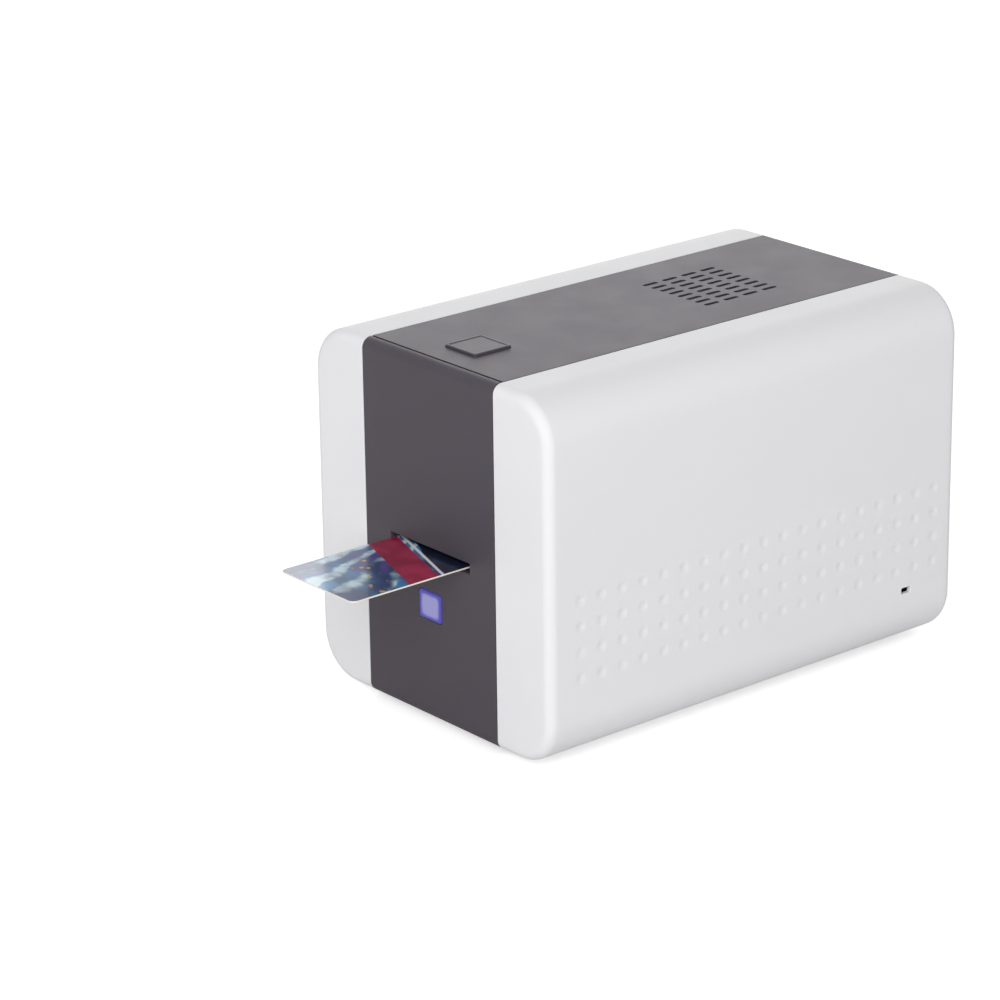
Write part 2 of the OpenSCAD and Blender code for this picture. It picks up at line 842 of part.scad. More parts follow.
// Belt round the four roller pulleys, a slot-shaped loop
module stadium(r) {
    translate([eject_y, roller_z]) circle(r);
    translate([rear_feed_y, roller_z]) circle(r);
    translate([eject_y, roller_z - r]) square([rear_feed_y - eject_y, 2 * r]);
}

module drive_belt() {
    color("black") along_x(-belt_x - belt_w + free_gap, belt_w - 2 * free_gap) difference() {
        stadium(pulley_r + free_gap + belt_t);
        stadium(pulley_r + free_gap);
    }
}

module transport_motor() {
    color("dimgray") difference() {
        union() {
            translate([0, platen_y, motor_z]) along_x(-frame_in, motor_len)
                rounded_rect(motor_side, motor_side, 3);
            bar_x(-frame_out, frame_t + eps, platen_y, motor_z, motor_boss_r);
        }
        bar_x(-frame_out - cut, cut + motor_shaft_in + 4, platen_y, motor_z, motor_shaft_r + run_gap);
    }
}

module ribbon_motor() {
    color("silver") difference() {
        union() {
            bar_x(frame_in - ribbon_motor_len, ribbon_motor_len, ribbon_idler_y, ribbon_motor_z,
                  ribbon_motor_r);
            bar_x(frame_in - eps, frame_t + eps, ribbon_idler_y, ribbon_motor_z, ribbon_boss_r);
        }
        bar_x(frame_out - ribbon_shaft_in - 2, ribbon_shaft_in + 2 + cut, ribbon_idler_y, ribbon_motor_z,
              ribbon_shaft_r + run_gap);
    }
}

module gear_posts() {
    post_end = 1.5;
    left_end = gear_x + gear_w + post_end;
    right_end = ribbon_gear_x + gear_w + post_end;
    color("silver") {
        bar_x(-left_end, left_end - frame_in, platen_y, idler_z, post_r - close_gap);
        bar_x(frame_in, right_end - frame_in, ribbon_idler_y, ribbon_idler_z, post_r - close_gap);
    }
}

module frame_screws() {
    color("silver") both_sides()
        for (p = boss_places) {
            bar_x(frame_in - screw_head_h, screw_head_h, p[0], p[1], screw_head_r);
            bar_x(frame_in - eps, frame_t + 10, p[0], p[1], screw_r - run_gap);
        }
}

module latch_strikes() {
    color("silver") both_sides() {
        strike_in = hook_x - hook_t / 2 - 1;
        bar_x(strike_in, frame_in - strike_in, strike_y, strike_z, strike_r);
    }
}

// ---------------------------------------------------------------- electrics

module main_board() {
    color("darkgreen") span([-board_x, board_front, board_z], [board_x, board_rear, board_z + board_t]);
}

module board_parts() {
    top = board_z + board_t;
    color("black") {
        span([-12, board_front + 18, top], [6, board_front + 36, top + 1.6]);
        span([14, board_front + 14, top], [22, board_front + 26, top + 1.4]);
        span([-30, board_front + 20, top], [-22, board_front + 34, top + 1.4]);
        for (x = [-28, -16, 16, 28]) translate([x, board_front + 52, top]) cylinder(r = 4, h = 11);
        for (x = [-26, 0, 26]) span([x - 6, board_front + 3, top], [x + 6, board_front + 8, top + 6]);
    }
}

module usb_socket() {
    top = board_z + board_t;
    color("silver") difference() {
        span([usb_x - usb_w / 2, rear_y - 17, top], [usb_x + usb_w / 2, rear_y, top + usb_h]);
        difference() {
            span([usb_x - usb_w / 2 + 1.6, rear_y - 10, top + 1.6],
                 [usb_x + usb_w / 2 - 1.6, rear_y + cut, top + usb_h - 1.6]);
            span([usb_x - 2.6, rear_y - 11, top + 3.9], [usb_x + 2.6, rear_y - 1, top + 7.1]);
        }
    }
}

module power_jack() {
    top = board_z + board_t;
    jack_z = top + 6;
    color("black") difference() {
        span([jack_x - jack_w / 2, rear_y - 15, top], [jack_x + jack_w / 2, rear_y, top + jack_h]);
        difference() {
            translate([jack_x, rear_y - 9, jack_z]) rotate([-90, 0, 0]) cylinder(r = jack_r, h = 9 + cut);
            translate([jack_x, rear_y - 10, jack_z]) rotate([-90, 0, 0]) cylinder(r = 1, h = 9);
        }
    }
}

module power_switch_body() {
    half_w = switch_w / 2;
    half_h = switch_h / 2;
    color("black") translate([switch_x, rear_y, switch_z]) difference() {
        union() {
            span([-half_w, -18, -half_h], [half_w, eps, half_h]);
            span([-half_w - switch_rim, 0, -half_h - switch_rim],
                 [half_w + switch_rim, switch_flange, half_h + switch_rim]);
        }
        span([-half_w + switch_wall, -12, -half_h + switch_wall],
             [half_w - switch_wall, switch_flange + cut, half_h - switch_wall]);
        translate([0, rocker_y - rear_y, -half_h + 0.5])
            cylinder(r = rocker_pin_r + run_gap, h = switch_h - 1);
    }
}

// Rocker: a shallow vee in plan with a round belly, turning about an upright pin
module rocker() {
    half = switch_w / 2 - 2.4;
    depth = 5;
    rise = switch_flange + 3.6;
    face_h = switch_h - 3.6;
    pin_h = switch_h - 1.4;
    color("black") translate([switch_x, rocker_y, switch_z]) rotate([0, 0, rocker_tilt]) {
        translate([0, 0, -face_h / 2]) linear_extrude(face_h)
            polygon([
                [-half, rise - 0.6], [0, rise - 2], [half, rise - 0.6], [half - 0.6, -1],
                [3, -depth], [-3, -depth], [-half + 0.6, -1]
            ]);
        translate([0, 0, -pin_h / 2]) cylinder(r = rocker_pin_r, h = pin_h);
    }
}

module light_board() {
    z0 = base_z + lit_z;
    color("darkgreen")
        span([-light_board_half[0], light_board_y, z0 - light_board_half[1]],
             [light_board_half[0], light_board_y + light_board_t, z0 + light_board_half[1]]);
}

module lock_plate() {
    color("silver") difference() {
        span([side_x - wall - lock_t, lock_y - 9, lock_z - 7], [side_x - wall, lock_y + 9, lock_z + 7]);
        span([side_x - wall - lock_t - cut, lock_y - lock_w / 2, lock_z - lock_h / 2],
             [side_x - wall + cut, lock_y + lock_w / 2, lock_z + lock_h / 2]);
    }
}

module card_sensor() {
    y0 = front_y + 26;
    shelf_low = card_bottom - guide_gap - guide_t;
    color("black") span([guide_in + 3, y0, shelf_low - 8], [guide_in + 10, y0 + 9, shelf_low]);
}

// ---------------------------------------------------------------- lid

// What the lid is hollowed by: its inside, and all that lies below the skirts and the rear lip
module lid_hollow(lid_y0) {
    intersection() {
        core_form(wall);
        span([-body_w, lid_y0 - cut, -cut], [body_w, rear_y, top_z + cut]);
    }
    span([-body_w, lid_y0 - cut, hinge_z - lip_r - 2 * cut], [body_w, hinge_y, top_z - skirt_h]);
    difference() {
        span([-body_w, hinge_y - eps, hinge_z - lip_r - 2 * cut], [body_w, rear_y + cut, hinge_z]);
        bar_x(-body_w, 2 * body_w, hinge_y, hinge_z, lip_r);
    }
}

// Ear that carries the latch bar, drawn in (Y, Z)
module latch_ear() {
    difference() {
        union() {
            translate([latch_y, latch_z]) circle(latch_ear_half);
            translate([latch_y - latch_ear_half, latch_z])
                square([2 * latch_ear_half, top_z - wall - latch_z + eps]);
        }
        translate([latch_y, latch_z]) circle(latch_r + run_gap);
    }
}

module lid_openings() {
    bar_x(-body_w, 2 * body_w, hinge_y, hinge_z, pin_r + close_gap);
    for (p = head_screw_places)
        translate([p[0], p[1], bracket_top - cut]) cylinder(r = screw_r, h = cut + 9);
    opening = release_w + 2 * release_gap;
    translate([0, release_y, top_z - wall - cut]) linear_extrude(wall + 2 * cut)
        rounded_rect(opening, opening, release_corner + release_gap);
    for (c = [0:vent_cols - 1], r = [0:vent_rows - 1])
        translate([(c - (vent_cols - 1) / 2) * vent_pitch_x, vent_y + r * vent_pitch_y, top_z - wall - cut])
            linear_extrude(wall + 2 * cut) rounded_rect(vent_w, vent_l, vent_w / 2 - 0.1);
}

module lid_shell() {
    lid_y0 = front_y + lid_front;
    lip_y0 = lid_y0 + lip_back;
    under_z = top_z - wall;
    color("dimgray") difference() {
        union() {
            difference() {
                intersection() {
                    core_form(0);
                    span([-body_w, lid_y0, hinge_z - lip_r - cut], [body_w, rear_y + cut, top_z + cut]);
                }
                lid_hollow(lid_y0);
            }
            // front lip behind the front cover's flange
            span([-skirt_in - eps, lip_y0, top_z - skirt_h], [skirt_in + eps, lip_y0 + lip_t, under_z + eps]);
            // bosses for the head bracket
            for (p = head_screw_places)
                translate([p[0], p[1], bracket_top]) cylinder(r = boss_r, h = under_z - bracket_top + eps);
            both_sides() along_x(latch_ear_x, latch_ear_t) latch_ear();
            // guide walls round the release button's skirt
            both_sides() translate([release_w / 2 + skirt_gap, release_y, 0])
                span([-skirt_wall / 2, -skirt_half_l, under_z - skirt_drop],
                     [skirt_wall / 2, skirt_half_l, under_z + eps]);
            // stiffening ribs across the rear half
            for (y = rib_places)
                span([-skirt_in - eps, y, under_z - rib_h], [skirt_in + eps, y + rib_t, under_z + eps]);
        }
        lid_openings();
    }
}

module hinge_pins() {
    pin_in = frame_in - 1.5;
    color("silver") both_sides() bar_x(pin_in, core_x - pin_in, hinge_y, hinge_z, pin_r);
}

module head_bracket() {
    leg_out = leg_in + leg_t;
    color("silver") difference() {
        union() {
            span([-leg_out, platen_y - bracket_half_y, bracket_top - leg_t],
                 [leg_out, platen_y + bracket_half_y, bracket_top]);
            both_sides() span([leg_in, platen_y - leg_half_y, sink_z + 2],
                              [leg_out, platen_y + leg_half_y, bracket_top]);
            span([-leg_in - eps, platen_y - shelf_half_y, shelf_z],
                 [leg_in + eps, platen_y + shelf_half_y, shelf_z + leg_t]);
        }
        for (p = head_screw_places)
            translate([p[0], p[1], bracket_top - leg_t - cut])
                cylinder(r = screw_r + 0.1, h = leg_t + 2 * cut);
        // upright slots for the heat sink's side pins
        both_sides() along_x(leg_in - cut, leg_t + 2 * cut) translate([platen_y, sink_z + sink_base_t]) {
            square([2 * sink_slot_r, 2 * sink_slot_rise], center = true);
            for (s = [-1, 1]) translate([0, s * sink_slot_rise]) circle(sink_slot_r);
        }
    }
}

module head_screws() {
    color("silver") for (p = head_screw_places) translate([p[0], p[1], bracket_top - leg_t]) {
        translate([0, 0, -screw_head_h]) cylinder(r = screw_head_r, h = screw_head_h);
        translate([0, 0, -eps]) cylinder(r = screw_r - run_gap, h = leg_t + 7);
    }
}

module heat_sink() {
    fin_step = (2 * sink_half_x - fin_t) / (fin_count - 1);
    fin_z = sink_z + sink_base_t;
    color("gainsboro") translate([0, platen_y, 0]) {
        span([-sink_half_x, -sink_half_y, sink_z], [sink_half_x, sink_half_y, fin_z]);
        for (i = [0:fin_count - 1]) translate([-sink_half_x + i * fin_step, 0, 0])
            span([0, -sink_half_y, fin_z - eps], [fin_t, sink_half_y, fin_z + fin_h]);
        both_sides() bar_x(sink_half_x - eps, leg_in + leg_t - sink_half_x + 0.8, 0, fin_z, sink_pin_r);
    }
}

// Ceramic print bar: flat at the print line, sloping up to its carrier
module print_head() {
    color("whitesmoke") along_x(-head_half, 2 * head_half)
        polygon([[platen_y - 5, head_z], [platen_y + 5, head_z], [platen_y + 14, head_body_z],
                 [platen_y + 14, sink_z], [platen_y - 14, sink_z], [platen_y - 14, head_body_z]]);
}

// A wire coil along Z: rings of points that climb round the axis, closed at both ends
module coil(r, wire, turns, h) {
    sides = 6;
    per_turn = 14;
    rings = turns * per_turn;
    pts = [for (i = [0:rings]) for (j = [0:sides - 1])
        let (a = 360 * i / per_turn, b = 360 * j / sides, q = r + wire / 2 * cos(b))
        [q * cos(a), q * sin(a), wire / 2 + (h - wire) * i / rings + wire / 2 * sin(b)]];
    walls = [for (i = [0:rings - 1]) for (j = [0:sides - 1])
        let (k = (j + 1) % sides)
        [i * sides + j, (i + 1) * sides + j, (i + 1) * sides + k, i * sides + k]];
    cap0 = [for (j = [0:sides - 1]) j];
    cap1 = [for (j = [sides - 1:-1:0]) rings * sides + j];
    polyhedron(pts, concat(walls, [cap0], [cap1]));
}

module head_springs() {
    z0 = sink_z + sink_base_t + fin_h + 0.1;
    color("silver") for (s = [-1, 1])
        translate([s * spring_x, platen_y, z0]) coil(spring_r, spring_wire, spring_turns, shelf_z - z0 - 0.1);
}

module release_button() {
    cap_top = top_z + release_rise;
    cap_low = top_z - wall - 0.6;
    upper_w = release_w - 2 * release_inset;
    dish_w = upper_w - 2 * release_rim;
    stem_low = latch_z + latch_r + free_gap;
    color("gray") translate([0, release_y, 0]) {
        difference() {
            union() {
                translate([0, 0, cap_low]) linear_extrude(cap_top - cap_low - release_step)
                    rounded_rect(release_w, release_w, release_corner);
                translate([0, 0, cap_top - release_step - eps]) linear_extrude(release_step + eps)
                    rounded_rect(upper_w, upper_w, release_corner - release_inset);
            }
            translate([0, 0, cap_top - release_dish]) linear_extrude(release_dish + cut)
                rounded_rect(dish_w, dish_w, 0.5);
        }
        // flange that stops the button under the lid, with the travel's room below it
        translate([0, 0, cap_low - release_flange_t]) linear_extrude(release_flange_t + eps)
            rounded_rect(release_w - 1, release_w + release_flange_l, release_corner);
        span([-stem_w / 2, -stem_t / 2, stem_low], [stem_w / 2, stem_t / 2, cap_low]);
    }
}

module latch_bar() {
    color("silver") {
        bar_x(-hook_x - hook_t / 2, 2 * hook_x + hook_t, latch_y, latch_z, latch_r);
        // hooks: a drop arm with a nose that faces the strike
        both_sides() along_x(hook_x - hook_t / 2, hook_t) {
            translate([latch_y - hook_arm / 2, hook_low]) square([hook_arm, latch_z - hook_low]);
            translate([latch_y, latch_z]) circle(hook_arm);
            translate([latch_y, hook_low]) square([nose_l - nose_h / 2, nose_h]);
            translate([latch_y + nose_l - nose_h / 2, hook_low + nose_h / 2]) circle(nose_h / 2);
        }
        // lever under the button's stem
        span([-lever_half, latch_y, latch_z - lever_t], [lever_half, release_y + 3, latch_z + latch_r]);
    }
}

module front_button() {
    z0 = base_z + lit_z;
    flange_y = front_y + wall + free_gap;
    stem_end = light_board_y - lit_travel - lit_stem_gap;
    color("lavender") translate([0, 0, z0]) {
        along_y(front_y - lit_proud, wall + 1) rounded_rect(lit_w, lit_h, lit_corner);
        along_y(flange_y, lit_flange_t)
            rounded_rect(lit_w + 2 * lit_flange, lit_h + 2 * lit_flange, lit_corner);
        span([-lit_stem_half, flange_y + 0.7, -lit_stem_half], [lit_stem_half, stem_end, lit_stem_half]);
    }
}

// ---------------------------------------------------------------- rollers, gears and spools

module roller_shaft(y) {
    left_end = belt_x + belt_w + 2 * axle_end;
    bar_x(-left_end, left_end + frame_out + bush_out + axle_end, y, roller_z, shaft_r);
}

module pulley(y) {
    bar_x(-belt_x - belt_w, belt_w, y, roller_z, pulley_r);
    bar_x(-belt_x - belt_w - 0.8, 0.8 + eps, y, roller_z, pulley_r + belt_t + 1);
}

module sleeve(y) {
    difference() {
        bar_x(-sleeve_half, 2 * sleeve_half, y, roller_z, roller_r);
        bar_x(-sleeve_half - cut, 2 * sleeve_half + 2 * cut, y, roller_z, shaft_r + close_gap);
    }
}

module platen_shaft() {
    color("silver") {
        roller_shaft(platen_y);
        pulley(platen_y);
    }
}

module platen_sleeve() {
    color("dimgray") sleeve(platen_y);
}

module eject_shaft() {
    color("silver") {
        roller_shaft(eject_y);
        pulley(eject_y);
    }
}

module eject_sleeve() {
    color("dimgray") sleeve(eject_y);
}

module cleaning_drive_shaft() {
    color("silver") {
        roller_shaft(clean_y);
        pulley(clean_y);
    }
}

module cleaning_drive_sleeve() {
    color("dimgray") sleeve(clean_y);
}

module rear_feed_shaft() {
    color("silver") {
        roller_shaft(rear_feed_y);
        pulley(rear_feed_y);
    }
}

module rear_feed_sleeve() {
    color("dimgray") sleeve(rear_feed_y);
}

module upper_roller(y, z, r) {
    half = frame_out + 0.8;
    bar_x(-pinch_half, 2 * pinch_half, y, z, r);
    bar_x(-half, 2 * half, y, z, pinch_shaft_r);
}

module eject_pinch_roller() {
    color("gray") upper_roller(eject_y, pinch_z, pinch_r);
}

module cleaning_roller() {
    color("steelblue") upper_roller(clean_y, clean_z, clean_r);
}

module rear_pinch_roller() {
    color("gray") upper_roller(rear_feed_y, pinch_z, pinch_r);
}

// Gear phases: the platen gear has a tooth straight down, the rest follow in mesh
platen_phase = -90;
idler_phase = mesh_phase(platen_phase, gear_teeth, gear_teeth, -90);
pinion_phase = mesh_phase(idler_phase, gear_teeth, pinion_teeth, -90);
ribbon_dir = atan2(ribbon_idler_z - spool_z, ribbon_idler_y - take_up_y);
ribbon_idler_phase = mesh_phase(ribbon_dir, ribbon_teeth, ribbon_teeth, ribbon_dir);
ribbon_pinion_phase = mesh_phase(ribbon_idler_phase, ribbon_teeth, pinion_teeth, -90);

// A gear of the left train, in the plane behind the belt
module left_gear(z, teeth, phase, bore) {
    gear_at(-gear_x - gear_w, platen_y, z, teeth, phase, bore);
}

module platen_gear() {
    color("ivory") left_gear(roller_z, gear_teeth, platen_phase, shaft_r + close_gap);
}

module idler_gear() {
    color("ivory") left_gear(idler_z, gear_teeth, idler_phase, post_r - close_gap + run_gap);
}

module motor_pinion() {
    shaft_end = gear_x + gear_w + 1;
    color("silver") {
        left_gear(motor_z, pinion_teeth, pinion_phase, motor_shaft_r - 0.5);
        bar_x(-shaft_end, shaft_end - frame_out + motor_shaft_in, platen_y, motor_z, motor_shaft_r);
    }
}

module take_up_drive() {
    drive_end = ribbon_gear_x + gear_w + 1;
    hub_in = spool_half - 8;
    color("ivory") {
        gear_at(ribbon_gear_x, take_up_y, spool_z, ribbon_teeth, ribbon_dir, shaft_r - 0.5);
        bar_x(cheek_x + 1, drive_end - cheek_x - 1, take_up_y, spool_z, shaft_r);
        bar_x(hub_in, cheek_x + cheek_t + 1 - hub_in, take_up_y, spool_z, hub_r - close_gap);
    }
}

module spool(y, roll_r) {
    difference() {
        union() {
            bar_x(-spool_half, 2 * spool_half, y, spool_z, core_tube_r);
            bar_x(-film_half, 2 * film_half, y, spool_z, roll_r);
            for (s = [-1, 1]) bar_x(s * (spool_half - 0.6) - 0.6, 1.2, y, spool_z, roll_r + 1);
        }
        bar_x(-spool_half - cut, 2 * spool_half + 2 * cut, y, spool_z, hub_r);
    }
}

module take_up_spool() {
    color("black") spool(take_up_y, take_up_roll_r);
}

module supply_spool() {
    hub_in = spool_half - 8;
    color("black") {
        spool(supply_y, supply_roll_r);
        // stub axle on the right, in its own bush
        bar_x(hub_in, frame_out + bush_out + axle_end - hub_in, supply_y, spool_z, shaft_r);
        bar_x(hub_in, cheek_x + cheek_t + 1 - hub_in, supply_y, spool_z, hub_r + eps);
    }
}

module ribbon_idler_gear() {
    color("ivory") gear_at(ribbon_gear_x, ribbon_idler_y, ribbon_idler_z, ribbon_teeth,
                           ribbon_idler_phase, post_r - close_gap + run_gap);
}

module ribbon_pinion() {
    shaft_in = frame_out - ribbon_shaft_in;
    shaft_end = ribbon_gear_x + gear_w + 1;
    color("silver") {
        gear_at(ribbon_gear_x, ribbon_idler_y, ribbon_motor_z, pinion_teeth, ribbon_pinion_phase,
                ribbon_shaft_r - 0.5);
        bar_x(shaft_in, shaft_end - shaft_in, ribbon_idler_y, ribbon_motor_z, ribbon_shaft_r);
    }
}

module card() {
    round_r = 3.18;
    color("lightblue") translate([0, front_y - card_out + card_l / 2, card_z - card_t / 2])
        linear_extrude(card_t) rounded_rect(card_w, card_l, round_r);
}

// ---------------------------------------------------------------- assembly

base_tray();
rubber_feet();
left_side_panel();
right_side_panel();
front_cover();
rear_cover();
slot_throat();
left_side_frame();
right_side_frame();
tie_rods();
roller_bushes();
left_card_guide();
right_card_guide();
ribbon_cartridge();
ribbon_film();
drive_belt();
transport_motor();
ribbon_motor();
gear_posts();
main_board();
board_parts();
usb_socket();
power_jack();
power_switch_body();
light_board();
lock_plate();
card_sensor();
frame_screws();
latch_strikes();
lid_shell();
head_bracket();
heat_sink();
print_head();
head_springs();
hinge_pins();
head_screws();
release_button();
latch_bar();
front_button();
rocker();
platen_shaft();
platen_sleeve();
platen_gear();
eject_shaft();
eject_sleeve();
cleaning_drive_shaft();
cleaning_drive_sleeve();
rear_feed_shaft();
rear_feed_sleeve();
eject_pinch_roller();
cleaning_roller();
rear_pinch_roller();
idler_gear();
motor_pinion();
take_up_drive();
take_up_spool();
supply_spool();
ribbon_idler_gear();
ribbon_pinion();
card();
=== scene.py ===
"""Looks of a desktop card printer with a hinged lid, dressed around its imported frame.

Sizes in the piece classes are millimetres in the row frame, where the front is -Y and up is +Z.
The mesh builder turns them into metres, so every finished object sits at the origin.
"""

import json
import logging
import math
from dataclasses import dataclass
from enum import Enum
from functools import cached_property, partialmethod
from typing import Mapping, Sequence, Union

import bmesh
import bpy
import numpy as np
from mathutils import Matrix, Vector
from mathutils.geometry import delaunay_2d_cdt

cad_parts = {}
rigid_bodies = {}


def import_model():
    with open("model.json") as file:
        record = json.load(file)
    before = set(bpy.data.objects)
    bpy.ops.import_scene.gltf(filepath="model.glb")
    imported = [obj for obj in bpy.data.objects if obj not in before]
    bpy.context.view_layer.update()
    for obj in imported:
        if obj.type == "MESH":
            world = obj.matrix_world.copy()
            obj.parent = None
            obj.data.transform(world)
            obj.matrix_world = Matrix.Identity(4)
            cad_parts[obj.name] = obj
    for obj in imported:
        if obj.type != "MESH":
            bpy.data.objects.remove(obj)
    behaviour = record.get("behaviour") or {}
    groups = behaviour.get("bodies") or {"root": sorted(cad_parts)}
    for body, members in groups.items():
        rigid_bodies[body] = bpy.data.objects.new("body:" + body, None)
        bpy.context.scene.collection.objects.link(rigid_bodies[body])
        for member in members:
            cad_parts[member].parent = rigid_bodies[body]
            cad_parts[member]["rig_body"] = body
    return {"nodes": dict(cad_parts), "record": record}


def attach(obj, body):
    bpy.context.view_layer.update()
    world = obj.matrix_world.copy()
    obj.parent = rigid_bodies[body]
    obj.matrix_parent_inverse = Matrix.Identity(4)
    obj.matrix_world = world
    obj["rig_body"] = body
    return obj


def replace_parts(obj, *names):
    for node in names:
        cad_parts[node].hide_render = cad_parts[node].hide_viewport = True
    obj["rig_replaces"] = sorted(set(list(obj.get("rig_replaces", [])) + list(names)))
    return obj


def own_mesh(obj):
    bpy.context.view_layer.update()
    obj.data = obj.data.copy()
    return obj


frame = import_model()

MM = 0.001
X, Y, Z = 0, 1, 2
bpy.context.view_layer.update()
log = logging.getLogger("card_printer")

Array = np.ndarray
Pair = tuple[float, float]
Spot = tuple[float, float, float]
Colour = tuple[float, float, float]


class Side(Enum):
    """Which side of the centre plane a piece stands on."""

    LEFT = -1
    RIGHT = 1


class Grain(Enum):
    """Kinds of surface relief on metal: how many streaks a metre has across the grain's axis, and along it."""

    BRUSHED = (900.0, 14.0)
    TURNED = (6.0, 2600.0)


# ---------------------------------------------------------------- mesh tools


@dataclass
class Patch:
    """One surface of a piece.

    Attributes:
        points: corner points in millimetres, one row each.
        corners: point numbers of each face, four to a row; a triangle repeats its last one.
        finish: which of the piece's finishes the surface takes.
    """

    points: Array
    corners: Array
    finish: int = 0

    def facing(self, centre: Sequence[float], outward: bool = True) -> "Patch":
        """The patch turned so that its faces look away from a point, or towards it.

        Args:
            centre: the point; any point will do for a closed surface.
            outward: True for away from the point.

        Returns:
            The patch itself, with its corners reversed where they had to be.
        """
        p = self.points[self.corners]
        normal = np.cross(p[:, 2] - p[:, 0], p[:, 3] - p[:, 1])
        if ((normal * (p.mean(1) - centre)).sum() > 0) != outward:
            self.corners = self.corners[:, ::-1]
        return self

    def dressed(self, finish: int) -> "Patch":
        """The patch with another of the piece's finishes."""
        return Patch(self.points, self.corners, finish)

    def mirrored(self) -> "Patch":
        """The patch's mirror image in the centre plane, with its faces still pointing the same way out."""
        return Patch(self.points * (-1.0, 1.0, 1.0), self.corners[:, ::-1], self.finish)


def grid(points: Array, wrap: tuple[bool, bool] = (False, False),
         skip: Sequence[tuple[int, int, int, int]] = ()) -> Patch:
    """A patch over a grid of points: one face between each four neighbours.

    Args:
        points: array of shape (rows, columns, 3).
        wrap: whether rows and columns close on themselves.
        skip: cell ranges (row from, row to, column from, column to) that are left open.

    Returns:
        The patch.
    """
    m, n = points.shape[:2]
    rows = np.arange(m if wrap[0] else m - 1)[:, None]
    cols = np.arange(n if wrap[1] else n - 1)[None, :]
    keep = np.ones((rows.size, cols.size), bool)
    for r0, r1, c0, c1 in skip:
        keep[r0:r1, c0:c1] = False
    nr, nc = (rows + 1) % m, (cols + 1) % n
    corners = np.stack([rows * n + cols, nr * n + cols, nr * n + nc, rows * n + nc], -1)
    return Patch(points.reshape(-1, 3), corners[keep].reshape(-1, 4))


def circle(steps: int) -> Array:
    """Angles once round, in equal steps."""
    return np.linspace(0, 2 * np.pi, steps, endpoint=False)


def laid(flat: Array, axis: int, place: float) -> Array:
    """Flat points (n, 2) stood in space (n, 3), square to an axis at a place along it."""
    return np.insert(flat, axis, place, axis=1)


def inside(points: Array, loop: Array) -> Array:
    """Which flat points lie inside a closed loop, by counting crossings of a ray.

    Args:
        points: array of shape (n, 2).
        loop: corners of the loop, shape (m, 2).

    Returns:
        A boolean for each point.
    """
    a, b = loop, np.roll(loop, -1, 0)
    x, y = points[:, None, 0], points[:, None, 1]
    spans = (a[None, :, 1] > y) != (b[None, :, 1] > y)
    rise = np.where(np.abs(b[:, 1] - a[:, 1]) < 1e-12, 1e-12, b[:, 1] - a[:, 1])
    meets = a[None, :, 0] + (y - a[None, :, 1]) * ((b[:, 0] - a[:, 0]) / rise)[None, :]
    return (np.sum(spans & (x < meets), 1) % 2) == 1


def plate(outline: Array, holes: Sequence[Array], axis: int, place: float) -> Patch:
    """A flat patch inside an outline and outside its holes, cut into triangles.

    Args:
        outline: corners of the outer edge, shape (n, 2).
        holes: corners of each hole's edge.
        axis: the axis that it stands square to.
        place: where it stands along that axis.

    Returns:
        The patch.
    """
    loops = [outline, *holes]
    starts = np.cumsum([0] + [len(loop) for loop in loops])
    edges = [np.stack([s + np.arange(len(loop)), s + (np.arange(len(loop)) + 1) % len(loop)], -1)
             for s, loop in zip(starts, loops)]
    whole, same_place = 0, 1e-6
    found = delaunay_2d_cdt(np.concatenate(loops).tolist(), np.concatenate(edges).tolist(), [], whole, same_place)
    flat = np.array([tuple(v) for v in found[0]], float)
    tris = np.array([tuple(f) for f in found[2]], int)
    middle = flat[tris].mean(1)
    keep = inside(middle, outline)
    for hole in holes:
        keep &= ~inside(middle, hole)
    tris = tris[keep]
    return Patch(laid(flat, axis, place), np.concatenate([tris, tris[:, 2:]], 1))


def rounded_outline(centre: Sequence[float], size: Sequence[float], radius: float,
                    steps: int = 6) -> tuple[Array, Array]:
    """Corners and outward directions of a rectangle with round corners, anticlockwise.

    Args:
        centre: middle of the rectangle.
        size: full width and height.
        radius: corner radius.
        steps: faces round each corner.

    Returns:
        Points (n, 2) and unit directions (n, 2).
    """
    half = np.array(size, float) / 2 - radius
    signs = np.array([(1, 1), (-1, 1), (-1, -1), (1, -1)], float)
    turn = np.linspace(0, np.pi / 2, steps + 1)[None, :] + (np.pi / 2 * np.arange(4))[:, None]
    way = np.stack([np.cos(turn), np.sin(turn)], -1)
    points = np.array(centre, float) + signs[:, None, :] * half + radius * way
    return points.reshape(-1, 2), way.reshape(-1, 2)


def rim(loop: Array, reach: Array, down: Array, wall: float, radius: float, steps: int = 4) -> Patch:
    """The edge of a wall, carried along a closed loop: point plus reach times out plus down times deep.

    Out and deep follow a quarter round, a straight face and a second quarter round.

    Args:
        loop: points where the flat face ends, shape (n, 3).
        reach: unit directions across the edge, shape (n, 3) or (3,).
        down: unit directions through the wall, shape (n, 3) or (3,).
        wall: thickness of the wall.
        radius: radius of the edge's rounds.
        steps: faces in each round.

    Returns:
        The patch.
    """
    turn = np.linspace(0, np.pi / 2, steps + 1)
    out, deep = radius * np.sin(turn), radius * (1 - np.cos(turn))
    out, deep = np.concatenate([out, out[::-1]]), np.concatenate([deep, wall - deep[::-1]])
    reach, down = (np.broadcast_to(way, loop.shape)[:, None, :] for way in (reach, down))
    return grid(loop[:, None, :] + reach * out[None, :, None] + down * deep[None, :, None], (True, False))


